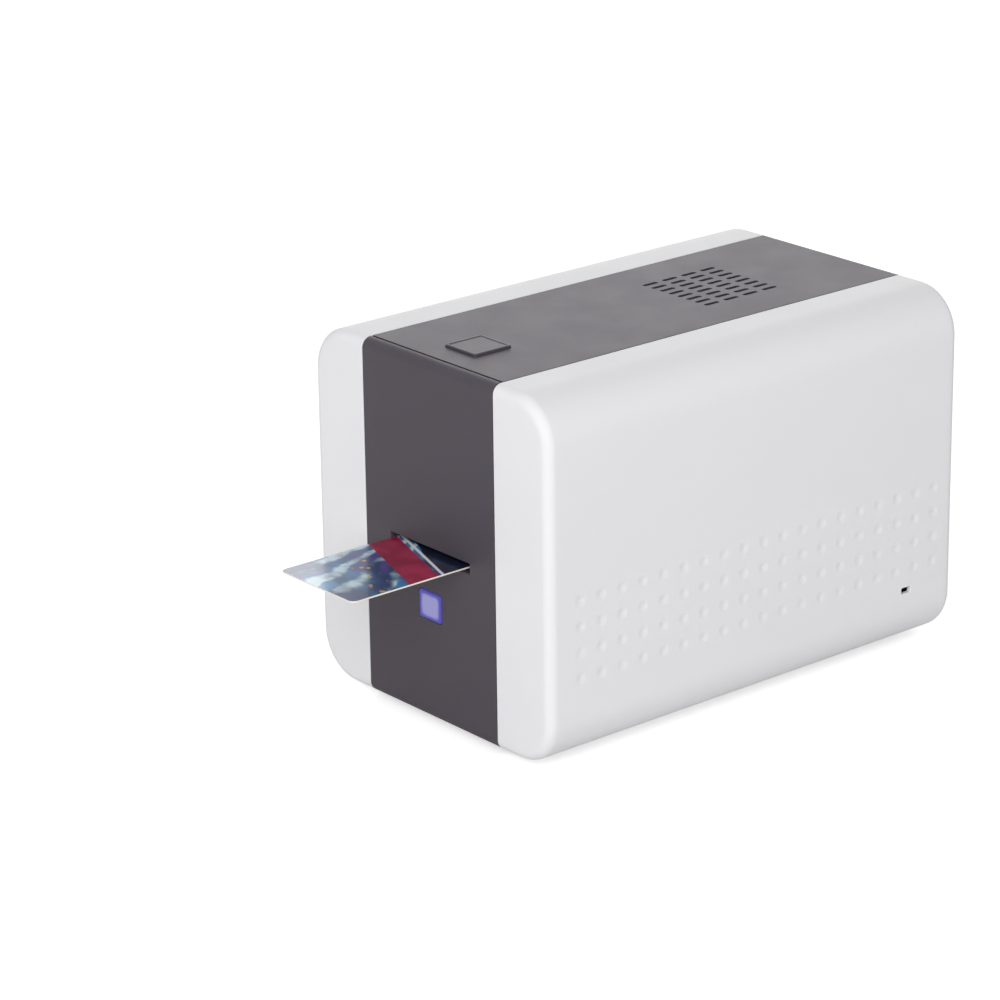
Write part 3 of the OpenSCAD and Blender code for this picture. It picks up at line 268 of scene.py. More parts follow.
def softened(corners: Sequence[Pair], radius: float, steps: int = 3) -> Array:
    """A flat open profile with its inner corners rounded, each along a quadratic curve.

    Args:
        corners: the profile's corner points in order.
        radius: how far from a corner its round starts.
        steps: faces in each round.

    Returns:
        Points of the rounded profile, shape (n, 2).
    """
    p = np.array(corners, float)
    rows = [p[:1]]
    t = np.linspace(0, 1, steps + 1)[:, None]
    for before, here, after in zip(p[:-2], p[1:-1], p[2:]):
        a, b = before - here, after - here
        la, lb = np.linalg.norm(a), np.linalg.norm(b)
        start = here + a / la * min(radius, la / 2)
        end = here + b / lb * min(radius, lb / 2)
        rows.append((1 - t) ** 2 * start + 2 * t * (1 - t) * here + t ** 2 * end)
    rows.append(p[-1:])
    return np.concatenate(rows)


def ringed(profile: Array, bore: float) -> Array:
    """A profile closed on itself along a bore of some radius, so that its spun form is a whole ring."""
    first, last = (profile[0][0], bore), (profile[-1][0], bore)
    return np.concatenate([[first], profile, [last, first]])


def turned(profile: Array, centre: Sequence[float], axis: int = X, steps: int = 48) -> Patch:
    """A profile of (along, radius) rows spun about an axis through a centre, facing outwards.

    Args:
        profile: rows that start and end on the axis, or close on themselves.
        centre: a point that the axis passes through; its own value along the axis is added.
        axis: the axis of the turning.
        steps: faces round the circle.

    Returns:
        The patch.
    """
    turn = circle(steps)[:, None]
    along = np.broadcast_to(profile[:, 0], (steps, len(profile)))
    rows = [profile[:, 1] * np.cos(turn), profile[:, 1] * np.sin(turn)]
    rows.insert(axis, along)
    return grid(np.stack(rows, -1) + np.asarray(centre, float), (True, False)).facing(centre)


def lofted(centre: Sequence[float], size: Sequence[float], radius: float, profile: Array, axis: int) -> list[Patch]:
    """A rectangle with round corners, carried through rows of (inset, place) and closed by flats.

    Each row is the rectangle drawn in by its inset, whose corner radius shrinks by as much.

    Args:
        centre: middle of the rectangle.
        size: full width and height at no inset.
        radius: corner radius at no inset.
        profile: rows of inset and place along the axis.
        axis: the axis that the rectangles stand square to.

    Returns:
        The walls and the two end faces, all facing outwards.
    """
    least = 0.15
    loops = [rounded_outline(centre, (size[0] - 2 * inset, size[1] - 2 * inset), max(radius - inset, least))[0]
             for inset, _ in profile]
    rings = np.stack([laid(loop, axis, place) for loop, (_, place) in zip(loops, profile)])
    middle = rings.reshape(-1, 3).mean(0)
    ends = [plate(loops[k], [], axis, float(profile[k][1])) for k in (0, -1)]
    return [patch.facing(middle) for patch in (grid(rings, (False, True)), *ends)]


def welded(patches: Sequence[Patch]) -> tuple[Array, list[Array], list[Array]]:
    """Joins patches at the points they share, to a micrometre, and drops faces of no area.

    Args:
        patches: the surfaces of one piece.

    Returns:
        Points in metres, faces by corner count (quads, then triangles), and the finish of each face.
    """
    starts = np.cumsum([0] + [len(p.points) for p in patches])[:-1]
    points = np.concatenate([p.points for p in patches])
    corners = np.concatenate([p.corners + s for p, s in zip(patches, starts)])
    finish = np.concatenate([np.full(len(p.corners), p.finish) for p in patches])
    per_mm, off_edge = 1000, 0.3719
    cell = np.floor(points * per_mm + off_edge).astype(np.int64)
    _, first, place = np.unique(cell, axis=0, return_index=True, return_inverse=True)
    quads = place.reshape(-1)[corners]
    same = quads == np.roll(quads, -1, 1)
    crossed = (quads[:, 0] == quads[:, 2]) | (quads[:, 1] == quads[:, 3])
    whole, three = (same.sum(1) == 0) & ~crossed, (same.sum(1) == 1) & ~crossed
    start = same[three].argmax(1)[:, None]
    tris = np.take_along_axis(quads[three], (start + np.array([[1, 2, 3]])) % 4, 1)
    return points[first] * MM, [quads[whole], tris], [finish[whole], finish[three]]


def placed(name: str, data: bpy.types.ID) -> bpy.types.Object:
    """Puts a mesh, a light or a camera in the scene.

    Args:
        name: the object's name.
        data: what it holds.

    Returns:
        The object.
    """
    thing = bpy.data.objects.new(name, data)
    bpy.context.scene.collection.objects.link(thing)
    return thing


@dataclass(frozen=True)
class Zone:
    """A box whose sharp edges get a round, or whose faces get a finish of their own.

    Attributes:
        low, high: the box's corners; X counts as its distance from the centre plane.
        radius: radius of the round, at most the width of the bevel; none where it is 0.
        finish: the finish number of faces that lie in the box; the piece's first one where it is 0.
    """

    low: Spot
    high: Spot
    radius: float = 0.0
    finish: int = 0

    def holds(self, verts: Sequence[bmesh.types.BMVert]) -> bool:
        """Whether all the points lie in the box."""
        place = np.array([(abs(v.co.x), v.co.y, v.co.z) for v in verts]) / MM
        return bool(((place >= self.low) & (place <= self.high)).all())


@dataclass
class Piece:
    """A finished object of the scene.

    Attributes:
        name: the object's name.
        body: the frame body it moves with.
        node: the frame node it stands for.
        finishes: names of its finishes, in the order that its patches number them.
        slot: the record's material slot; not used.
        sharp: angle in degrees past which an edge stays crisp.
        round_w: width of the bevel that the rounds of its zones are shares of.
    """

    name: str
    body: str
    node: str
    finishes: Sequence[str]
    slot: str = ""
    sharp: float = 38.0
    round_w: float = 2.0

    def settle(self, mesh: bpy.types.Mesh, bevels: Sequence[tuple[str, float, int, str]] = ()) -> bpy.types.Object:
        """Puts a mesh in the scene as this piece, with normals weighted by face area so that flats stay flat.

        Args:
            mesh: the mesh, in metres.
            bevels: name, width, segments and limit method of each bevel.

        Returns:
            The object.
        """
        thing = placed(self.name, mesh)
        for name in self.finishes:
            mesh.materials.append(FINISHES[name].material())
        sharp = math.radians(self.sharp)
        mesh.set_sharp_from_angle(angle=sharp)
        for name, width, segments, limit in bevels:
            ease = thing.modifiers.new(name, "BEVEL")
            ease.width, ease.segments = width * MM, segments
            ease.limit_method, ease.angle_limit = limit, sharp
            ease.use_clamp_overlap, ease.harden_normals = True, False
        weighted = thing.modifiers.new("face_area_normals", "WEIGHTED_NORMAL")
        weighted.mode, weighted.weight, weighted.keep_sharp = "FACE_AREA", 50, True
        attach(thing, self.body)
        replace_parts(thing, self.node)
        return thing

    def from_patches(self, patches: Sequence[Patch]) -> bpy.types.Object:
        """Builds the piece from its surfaces.

        Args:
            patches: the surfaces.

        Returns:
            The object.
        """
        points, faces, finish = welded(patches)
        mesh = bpy.data.meshes.new(self.name)
        loops = np.concatenate([f.reshape(-1) for f in faces])
        totals = np.concatenate([np.full(len(f), f.shape[1]) for f in faces])
        mesh.vertices.add(len(points))
        mesh.vertices.foreach_set("co", points.astype(np.float32).reshape(-1))
        mesh.loops.add(len(loops))
        mesh.loops.foreach_set("vertex_index", loops.astype(np.int32))
        mesh.polygons.add(len(totals))
        mesh.polygons.foreach_set("loop_start", (np.cumsum(totals) - totals).astype(np.int32))
        mesh.polygons.foreach_set("material_index", np.concatenate(finish).astype(np.int32))
        mesh.polygons.foreach_set("use_smooth", np.ones(len(totals), bool))
        mesh.update(calc_edges=True)
        mesh.validate()
        return self.settle(mesh)

    def from_node(self, width: float, zones: Sequence[Zone]) -> bpy.types.Object:
        """Builds the piece from a merged copy of its node, with its edges eased.

        Args:
            width: size of the eased edge.
            zones: places with a round or a finish of their own; a later one holds over an earlier one.

        Returns:
            The object.
        """
        mesh = frame["nodes"][self.node].data.copy()
        mesh.name = self.name
        mesh.materials.clear()
        if "custom_normal" in mesh.attributes:
            mesh.attributes.remove(mesh.attributes["custom_normal"])
        shape = bmesh.new()
        shape.from_mesh(mesh)
        same_place, same_plane = 2e-6, math.radians(0.4)
        bmesh.ops.remove_doubles(shape, verts=shape.verts, dist=same_place)
        bmesh.ops.dissolve_limit(shape, angle_limit=same_plane, verts=shape.verts, edges=shape.edges)
        rounds = [zone for zone in zones if zone.radius]
        weight = shape.edges.layers.float.new("bevel_weight_edge") if rounds else None
        for face in shape.faces:
            face.smooth = True
            held = [zone.finish for zone in zones if zone.finish and zone.holds(face.verts)]
            face.material_index = held[-1] if held else 0
        for edge in shape.edges if rounds else ():
            if len(edge.link_faces) == 2 and edge.calc_face_angle(0.0) > math.radians(self.sharp):
                held = [zone.radius / self.round_w for zone in rounds if zone.holds(edge.verts)]
                edge[weight] = held[-1] if held else 0.0
        shape.to_mesh(mesh)
        shape.free()
        bevels = [("rounded_edges", self.round_w, 5, "WEIGHT")] if rounds else []
        return self.settle(mesh, [*bevels, ("eased_edges", width, 2, "ANGLE")])


# ---------------------------------------------------------------- finishes


def srgb(code: str, factor: float = 1.0) -> Colour:
    """Linear colour of a six-figure screen code, made lighter or darker.

    Args:
        code: red, green and blue in hexadecimal.
        factor: what the linear values are multiplied by.

    Returns:
        Linear red, green and blue, at most 1.
    """
    c = np.array([int(code[i:i + 2], 16) for i in (0, 2, 4)]) / 255
    linear = np.where(c <= 0.04045, c / 12.92, ((c + 0.055) / 1.055) ** 2.4)
    return tuple(min(1.0, float(v) * factor) for v in linear)


class Value:
    """An output on a node sheet that can be reckoned with."""

    def __init__(self, sheet: "Sheet", socket: bpy.types.NodeSocket) -> None:
        """Keeps the output and the sheet that it is on."""
        self.sheet, self.socket = sheet, socket

    def maths(self, how: str, other: "Entry" = 0.0) -> "Value":
        """This number with another, by Blender's name of the operation."""
        return self.sheet.add("Math", 0, (self, other), operation=how)

    __add__ = partialmethod(maths, "ADD")
    __mul__ = partialmethod(maths, "MULTIPLY")
    __truediv__ = partialmethod(maths, "DIVIDE")
    __pow__ = partialmethod(maths, "POWER")

    def vector(self, how: str, other: Spot = (0, 0, 0), output: str = "Vector") -> "Value":
        """This place with another, by Blender's name of the operation."""
        return self.sheet.add("VectorMath", output, (self, other), operation=how)

    def part(self, axis: int) -> "Value":
        """One coordinate of this place."""
        return self.sheet.add("SeparateXYZ", axis, (self,))

    def ramp(self, low: float, high: float, to_low: float = 0.0, to_high: float = 1.0) -> "Value":
        """This number carried smoothly from the range low..high, which may fall, to another, and held at its ends."""
        return self.sheet.add("MapRange", 0, (self, low, high, to_low, to_high),
                              interpolation_type="SMOOTHSTEP", clamp=True)


Entry = Union[Value, float, Sequence[float], str]


class Sheet:
    """The node sheet of a material or a world, with short calls for what the finishes share."""

    def __init__(self, owner: Union[bpy.types.Material, bpy.types.World]) -> None:
        """Opens a node sheet.

        Args:
            owner: a new material or world.
        """
        owner.use_nodes = True
        self.tree = owner.node_tree
        self.shader = next(node for node in self.tree.nodes if node.outputs)

    @cached_property
    def where(self) -> Value:
        """Object coordinates."""
        return self.add("TexCoord", "Object")

    def feed(self, target: bpy.types.NodeSocket, value: Entry) -> None:
        """Links a value to an input, or sets the input.

        Args:
            target: the input.
            value: an output, or a plain value; a screen code stands for its colour.
        """
        if isinstance(value, Value):
            self.tree.links.new(value.socket, target)
            return
        value = srgb(value) if isinstance(value, str) else value
        target.default_value = (*value, 1.0) if target.type == "RGBA" else value

    def add(self, kind: str, output: Union[int, str], inputs: Union[Sequence[Entry], Mapping[object, Entry]] = (),
            **settings: object) -> Value:
        """Adds a node, sets its properties and fills its inputs.

        Args:
            kind: Blender's name of the node, without the words that all of them share.
            output: number or name of the output that is wanted.
            inputs: what goes into it, in order or by input.
            settings: properties by name.

        Returns:
            The output.
        """
        node = self.tree.nodes.new(f"ShaderNode{kind}")
        for name, value in settings.items():
            setattr(node, name, value)
        for place, value in inputs.items() if isinstance(inputs, dict) else enumerate(inputs):
            self.feed(node.inputs[place], value)
        return Value(self, node.outputs[output])

    def set(self, **sockets: Entry) -> None:
        """Fills the shader's own inputs; an underscore in a name stands for a space."""
        for name, value in sockets.items():
            self.feed(self.shader.inputs[name.replace("_", " ")], value)

    def noise(self, scale: float, detail: float = 2.0, rough: float = 0.5,
              stretch: Spot = (1, 1, 1)) -> Value:
        """Cloudy noise from 0 to 1: patches in a metre, finer layers, their strength, and how it is packed by axis."""
        where = self.where if stretch == (1, 1, 1) else self.where.vector("MULTIPLY", stretch)
        return self.add("TexNoise", "Fac", {"Vector": where, "Scale": scale, "Detail": detail, "Roughness": rough})

    def cells(self, scale: float, where: Value, feature: str = "F1", output: str = "Distance") -> Value:
        """A pattern of so many cells in a metre, and which of its measures and outputs to give."""
        return self.add("TexVoronoi", output, {"Vector": where, "Scale": scale}, feature=feature)

    def mix(self, share: Entry, a: Entry, b: Entry) -> Value:
        """A colour between two colours, by the share of the second; by number, since its sockets share names."""
        return self.add("Mix", 2, {0: share, 6: a, 7: b}, data_type="RGBA")

    def bands(self, share: Value, inks: Sequence[str], soft: float) -> Value:
        """Colours side by side over the range from 0 to 1, all of one width.

        Args:
            share: the place in the range.
            inks: screen codes of the colours.
            soft: half of the width over which two neighbours meet.

        Returns:
            The colour.
        """
        tone: Entry = inks[0]
        for k, ink in enumerate(inks[1:], 1):
            edge = k / len(inks)
            tone = self.mix(share.ramp(edge - soft, edge + soft), tone, ink)
        return tone

    def relief(self, height: Value, depth: float, strength: float = 1.0, **below: Value) -> Value:
        """A bump from a height of 0 to 1 that stands for a depth in millimetres, over a Normal where one is given."""
        return self.add("Bump", "Normal", {"Height": height, "Distance": depth * MM, "Strength": strength, **below})

    def shown(self, gloss: Entry = 1.0) -> Value:
        """1 for the camera's rays and for rays that pass through, and 0 for rays of plain light.

        Args:
            gloss: the value for rays in gloss.

        Returns:
            The value.
        """
        camera, glossy, through = (self.add("LightPath", f"Is {kind} Ray")
                                   for kind in ("Camera", "Glossy", "Transmission"))
        return camera.maths("MAXIMUM", (glossy * gloss).maths("MAXIMUM", through))


@dataclass(frozen=True)
class Finish:
    """A surface finish, made into a material once and then shared.

    Attributes:
        name: the finish's name, which the material's name starts with.
        code: screen code of the base colour.
        rough: roughness.
    """

    name: str
    code: str
    rough: float

    def tint(self, factor: float = 1.0) -> Colour:
        """The base colour, made lighter or darker by a factor."""
        return srgb(self.code, factor)

    def start(self) -> Sheet:
        """The node sheet of a new material for the finish."""
        return Sheet(bpy.data.materials.new(f"{self.name}_finish"))

    def material(self) -> bpy.types.Material:
        """The finish's material, painted on first use.

        Returns:
            The material.
        """
        if bpy.data.materials.get(f"{self.name}_finish") is None:
            self.paint()
        return bpy.data.materials[f"{self.name}_finish"]

    def paint(self) -> None:
        """Makes the material and lays the finish on its node sheet."""
        raise NotImplementedError


@dataclass(frozen=True)
class Moulded(Finish):
    """Moulded plastic: a faint flow mottle, a fine spark-eroded grain and uneven gloss.

    Attributes:
        grain_mm: size of the grain.
        depth_mm: its depth.
        mottle: how far the colour wanders.
        specular: specular level.
        uneven: how far the roughness wanders.
    """

    grain_mm: float = 0.45
    depth_mm: float = 0.012
    mottle: float = 0.03
    specular: float = 0.5
    uneven: float = 0.02

    def paint(self) -> None:
        """Lays the plastic: mottle and specks in colour, wandering roughness, and pits with a finer grain."""
        sheet = self.start()
        flow = sheet.noise(9.0, 3.0, 0.6, (1, 0.45, 1.6))
        tone = sheet.mix(flow.ramp(0.25, 0.75), self.tint(1 - self.mottle), self.tint(1 + self.mottle))
        speck = sheet.noise(1000 / (self.grain_mm * 1.7), 1.0)
        tone = sheet.mix(speck.ramp(0.3, 0.7), tone, sheet.mix(0.5, tone, self.tint(1 - 1.6 * self.mottle)))
        gloss = sheet.noise(38.0, 4.0, 0.65).ramp(0.3, 0.7, self.rough - self.uneven, self.rough + self.uneven)
        pits = sheet.cells(1000 / self.grain_mm, sheet.where, "SMOOTH_F1")
        fine = sheet.noise(1000 / (self.grain_mm * 0.8))
        sheet.set(Base_Color=tone, Roughness=gloss, Specular_IOR_Level=self.specular,
                  Normal=sheet.relief(pits * 0.7 + fine * 0.5, self.depth_mm))


@dataclass(frozen=True)
class Rubber(Finish):
    """Rubber: matt, with a ground skin and a bloom that greys it in patches.

    Attributes:
        ribs_mm: spacing of ground lines along X, or 0 for none.
        bloom: how pale the bloom is.
        bloom_code: screen code of the bloom.
    """

    ribs_mm: float = 0.0
    bloom: float = 0.25
    bloom_code: str = "8d8b8a"

    def paint(self) -> None:
        """Lays the rubber: the bloom in colour and gloss, and the skin with its ground lines as a sine of X."""
        sheet = self.start()
        cloud = sheet.noise(55.0, 4.0, 0.6)
        skin = sheet.relief(sheet.noise(2600.0, 3.0, 0.7), 0.02)
        if self.ribs_mm:
            waves = (sheet.where.part(X) * (2000 * math.pi / self.ribs_mm)).maths("SINE")
            skin = sheet.relief(waves * 0.5, 0.01, 0.6, Normal=skin)
        sheet.set(Base_Color=sheet.mix(cloud.ramp(0.35, 0.8, 0.0, self.bloom), self.tint(), self.bloom_code),
                  Specular_IOR_Level=0.35, Roughness=cloud.ramp(0.2, 0.8, self.rough - 0.08, self.rough + 0.06),
                  Normal=skin)


@dataclass(frozen=True)
class Metal(Finish):
    """Metal: brushed, turned or plated, with streaks or spangle in colour and gloss.

    Attributes:
        grain: kind of relief.
        axis: the axis that the streaks run along, or that the piece was turned about.
        spangle: how far the plating's crystals differ.
    """

    grain: Grain = Grain.BRUSHED
    axis: int = X
    spangle: float = 0.06

    def paint(self) -> None:
        """Lays the metal: noise stretched along the grain, crystals, and darker clouds."""
        sheet = self.start()
        across, along = self.grain.value
        streak = sheet.noise(1.0, 3.0, 0.6, tuple(along if axis == self.axis else across for axis in (X, Y, Z)))
        crystal = sheet.cells(210.0, sheet.where, output="Color").part(X)
        cloud = sheet.noise(24.0, 3.0)
        tone = sheet.mix(streak.ramp(0.3, 0.7, 0.0, 0.6), self.tint(), self.tint(0.82))
        tone = sheet.mix(crystal * (self.spangle * 3), tone, self.tint(1.15))
        tone = sheet.mix(cloud.ramp(0.5, 0.85, 0.0, 0.25), tone, self.tint(0.7))
        gloss = streak.ramp(0.2, 0.8, self.rough - 0.05, self.rough + 0.07) + crystal * self.spangle
        sheet.set(Base_Color=tone, Metallic=1.0, Roughness=gloss, Normal=sheet.relief(streak, 0.006, 0.7))


@dataclass(frozen=True)
class Board(Finish):
    """Circuit board: solder mask over copper tracks, with tinned pads."""

    def paint(self) -> None:
        """Lays the board: tracks from the joints of a brick pattern, and pads from the middles of cells."""
        sheet = self.start()
        tracks = sheet.add("TexBrick", "Fac", {"Vector": sheet.where, "Scale": 120.0, "Mortar Size": 0.035,
                                               "Mortar Smooth": 0.2, "Brick Width": 1.9, "Row Height": 0.31})
        pads = sheet.cells(260.0, sheet.where).ramp(0.16, 0.12)
        tone = sheet.mix(tracks * sheet.noise(70.0).ramp(0.35, 0.6), self.tint(), self.tint(2.1))
        sheet.set(Base_Color=sheet.mix(pads, tone, "b9b7ae"), Roughness=pads.ramp(0, 1, self.rough, 0.3),
                  Metallic=pads * 0.9, Normal=sheet.relief(tracks + pads, 0.03, 0.6))


@dataclass(frozen=True)
class Glow(Finish):
    """Lit diffuser: a pale middle that deepens to violet at its moulded rim.

    Attributes:
        middle: centre of the face, in metres.
        half: half of its width and height, in metres.
        rim: screen code of the colour at the edge.
        power: strength of its light.
        square: power that makes the lines of one colour squares with round corners.
    """

    middle: Spot = (0.0, -0.1303, 0.0604)
    half: Pair = (0.008, 0.0069)
    rim: str = "463ea2"
    power: float = 0.72
    square: float = 6.0

    def paint(self) -> None:
        """Lays the diffuser: its colour follows the root of the sum of both shares of the half size to a power."""
        sheet = self.start()
        place = sheet.where.vector("SUBTRACT", self.middle)
        across, up = (place.part(axis).maths("ABSOLUTE") / half for axis, half in zip((X, Z), self.half))
        edge = (across ** self.square + up ** self.square) ** (1 / self.square)
        mottle = sheet.noise(420.0).ramp(0.3, 0.7, -0.015, 0.015)
        sheet.set(Base_Color=srgb(self.rim, 0.4), Roughness=self.rough, Emission_Strength=self.power,
                  Emission_Color=sheet.mix((edge + mottle).ramp(0.62, 0.9), self.tint(), self.rim),
                  Normal=sheet.relief(sheet.noise(1800.0), 0.01, 0.5))


@dataclass(frozen=True)
class PrintedFace(Finish):
    """Printed card face: pale rays on sky blue, a slanting wine-red sash, gold dots and a dark wave.

    Attributes:
        middle: centre of the card, in metres.
        sun: where the rays start, from the card's centre.
        slope: how far the sash slants.
    """

    middle: Spot = (0.0, -0.1532, 0.087)
    sun: Spot = (-0.034, 0.050, 0.0)
    slope: float = 0.34

    def paint(self) -> None:
        """Lays the print: rays as a sine of the angle about the sun, and bands by the slanted distance."""
        sheet = self.start()
        place = sheet.where.vector("SUBTRACT", self.middle)
        from_sun = place.vector("SUBTRACT", self.sun)
        waver = sheet.noise(60.0, 3.0).ramp(0.2, 0.8, -0.05, 0.05)
        rays = ((from_sun.part(Y).maths("ARCTAN2", from_sun.part(X)) + waver) * 34.0).maths("SINE")
        tone = sheet.mix(rays.ramp(-0.1, 0.8), "3f86b8", "c9e3ee")
        tone = sheet.mix(sheet.noise(34.0, 3.0, 0.6).ramp(0.42, 0.6), tone, "1d3a68")
        tone = sheet.mix(rays.ramp(0.2, -0.6) * sheet.noise(21.0).ramp(0.45, 0.6), tone, "4b3f86")
        slant = place.part(Y) + place.part(X) * self.slope
        wave = (place.part(X) * 150.0).maths("SINE") * 0.0022
        night = sheet.mix(sheet.noise(70.0, 3.0).ramp(0.5, 0.8), "1c1f33", "34406b")
        tone = sheet.mix((slant + wave).ramp(0.0185, 0.0195), tone, night)
        wine = sheet.mix(sheet.noise(90.0).ramp(0.3, 0.7), "8e1638", "b02850")
        tone = sheet.mix(slant.ramp(-0.0012, -0.0004) * slant.ramp(0.0164, 0.0156), tone, wine)
        tone = sheet.mix(slant.ramp(0.0176, 0.018) * slant.ramp(0.0196, 0.0192), tone, "f2eef0")
        dots = sheet.cells(190.0, place.vector("MULTIPLY", (1, 1, 0))).ramp(0.24, 0.18)
        belt = slant.ramp(-0.020, -0.018) * slant.ramp(-0.008, -0.010)
        sheet.set(Base_Color=sheet.mix(dots * belt, tone, "d8a53c"), Roughness=self.rough, Coat_Weight=0.5,
                  Coat_Roughness=0.12, Normal=sheet.relief(sheet.noise(900.0), 0.004, 0.5))


@dataclass(frozen=True)
class InkFilm(Finish):
    """Thermal ribbon: panels of yellow, magenta, cyan and black along its run, with a faint crinkle.

    Attributes:
        panel_mm: length of one panel.
        shift: where the first panel starts, in runs of four.
        inks: screen codes of the panels.
    """

    panel_mm: float = 47.0
    shift: float = 0.63
    inks: Sequence[str] = ("c9a91a", "a31a5c", "1479a0", "17161a")

    def paint(self) -> None:
        """Lays the ribbon: panels by Y over their length, thinned by clouds of the base colour."""
        sheet = self.start()
        run = sheet.where.part(Y) * 1000.0 / self.panel_mm / float(len(self.inks))
        tone = sheet.bands((run + self.shift).maths("FRACT"), self.inks, 0.003)
        cloud = sheet.noise(30.0, 3.0)
        crinkle = sheet.noise(1.0, 2.0, 0.5, (260.0, 26.0, 40.0))
        sheet.set(Base_Color=sheet.mix(cloud.ramp(0.3, 0.9, 0.0, 0.35), tone, self.tint()), Specular_IOR_Level=0.6,
                  Roughness=cloud.ramp(0.2, 0.8, self.rough - 0.05, self.rough + 0.08),
                  Normal=sheet.relief(crinkle, 0.12, 0.5))


@dataclass(frozen=True)
class WoundFilm(Finish):
    """Ribbon wound on a spool: ink panels round the roll, faint winding lines and the edge of the last turn.

    Attributes:
        axis: Y and Z of the spool's axis, in metres.
        inks: screen codes of the panels round the roll, in order.
    """

    axis: Pair
    inks: Sequence[str]

    def paint(self) -> None:
        """Lays the wound ribbon: panels by the angle about the axis, and noise drawn out round it."""
        sheet = self.start()
        place = sheet.where.vector("SUBTRACT", (0.0, *self.axis))
        share = (place.part(Z).maths("ARCTAN2", place.part(Y)) / (2 * math.pi) + 0.5).maths("FRACT")
        lines = sheet.noise(1.0, 3.0, 0.7, (5200.0, 60.0, 60.0))
        tone = sheet.mix(lines.ramp(0.35, 0.75, 0.0, 0.28), sheet.bands(share, self.inks, 0.002), self.tint())
        last = share.ramp(0.0, 0.012, 1.0, 0.0)
        sheet.set(Base_Color=tone, Specular_IOR_Level=0.6, Normal=sheet.relief(lines * 0.35 + last, 0.05, 0.6),
                  Roughness=sheet.noise(45.0, 3.0).ramp(0.25, 0.75, self.rough - 0.06, self.rough + 0.08))


@dataclass(frozen=True)
class Ceramic(Finish):
    """Glazed print bar: warm white with a fine dark line where the heaters lie.

    Attributes:
        line_y: Y of the heaters, in metres.
    """

    line_y: float = -0.030

    def paint(self) -> None:
        """Lays the ceramic: fine specks in colour and gloss, and the line on its underside."""
        sheet = self.start()
        line = (sheet.where.part(Y) + -self.line_y).maths("ABSOLUTE").ramp(0.0006, 0.0003)
        speck = sheet.noise(900.0).ramp(0.62, 0.7, 0.0, 0.35)
        under = sheet.where.part(Z).ramp(0.0895, 0.0890)
        tone = sheet.mix(line * under, sheet.mix(speck, self.tint(), self.tint(0.8)), "3a2f2a")
        sheet.set(Base_Color=tone, Roughness=speck.ramp(0, 1, self.rough, self.rough + 0.2),
                  Normal=sheet.relief(sheet.noise(500.0), 0.005))


@dataclass(frozen=True)
class Backdrop(Finish):
    """Studio floor: white paper with a faint tooth, brought to white for the camera and in gloss.

    In gloss the paper pales with its distance from the printer, so that near the printer it holds painted shade and
    low reflections stay darker.

    Attributes:
        name, code, rough: the finish's name, base colour and roughness.
        level: the paper's brightness, as a share of its base colour.
        lift: light that the camera sees added to the paper, out of 1.
        shade: distances in metres from which, and up to which, the paper pales in gloss; nearer than that it holds
            painted shade.
    """

    name: str = "studio_paper"
    code: str = "ffffff"
    rough: float = 0.9
    level: float = 0.84
    lift: float = 0.55
    shade: Pair = (0.15, 0.65)

    def paint(self) -> None:
        """Lays the paper: its tooth darkens it a little, its light follows the kind of ray, and in gloss it holds
        painted shade near the printer.
        """
        sheet = self.start()
        tooth = sheet.noise(240.0, 3.0)
        # painted shade: the paper's light in gloss fades towards the printer
        far = sheet.where.vector("LENGTH", output="Value").ramp(*self.shade)
        tone = sheet.mix(tooth.ramp(0.3, 0.7, 0.0, 0.02), self.tint(self.level), self.tint(self.level * 0.9))
        sheet.set(Base_Color=tone, Roughness=self.rough, Specular_IOR_Level=0.0, Emission_Color="ffffff",
                  Emission_Strength=sheet.shown(far) * self.lift, Normal=sheet.relief(tooth, 0.01, 0.3))


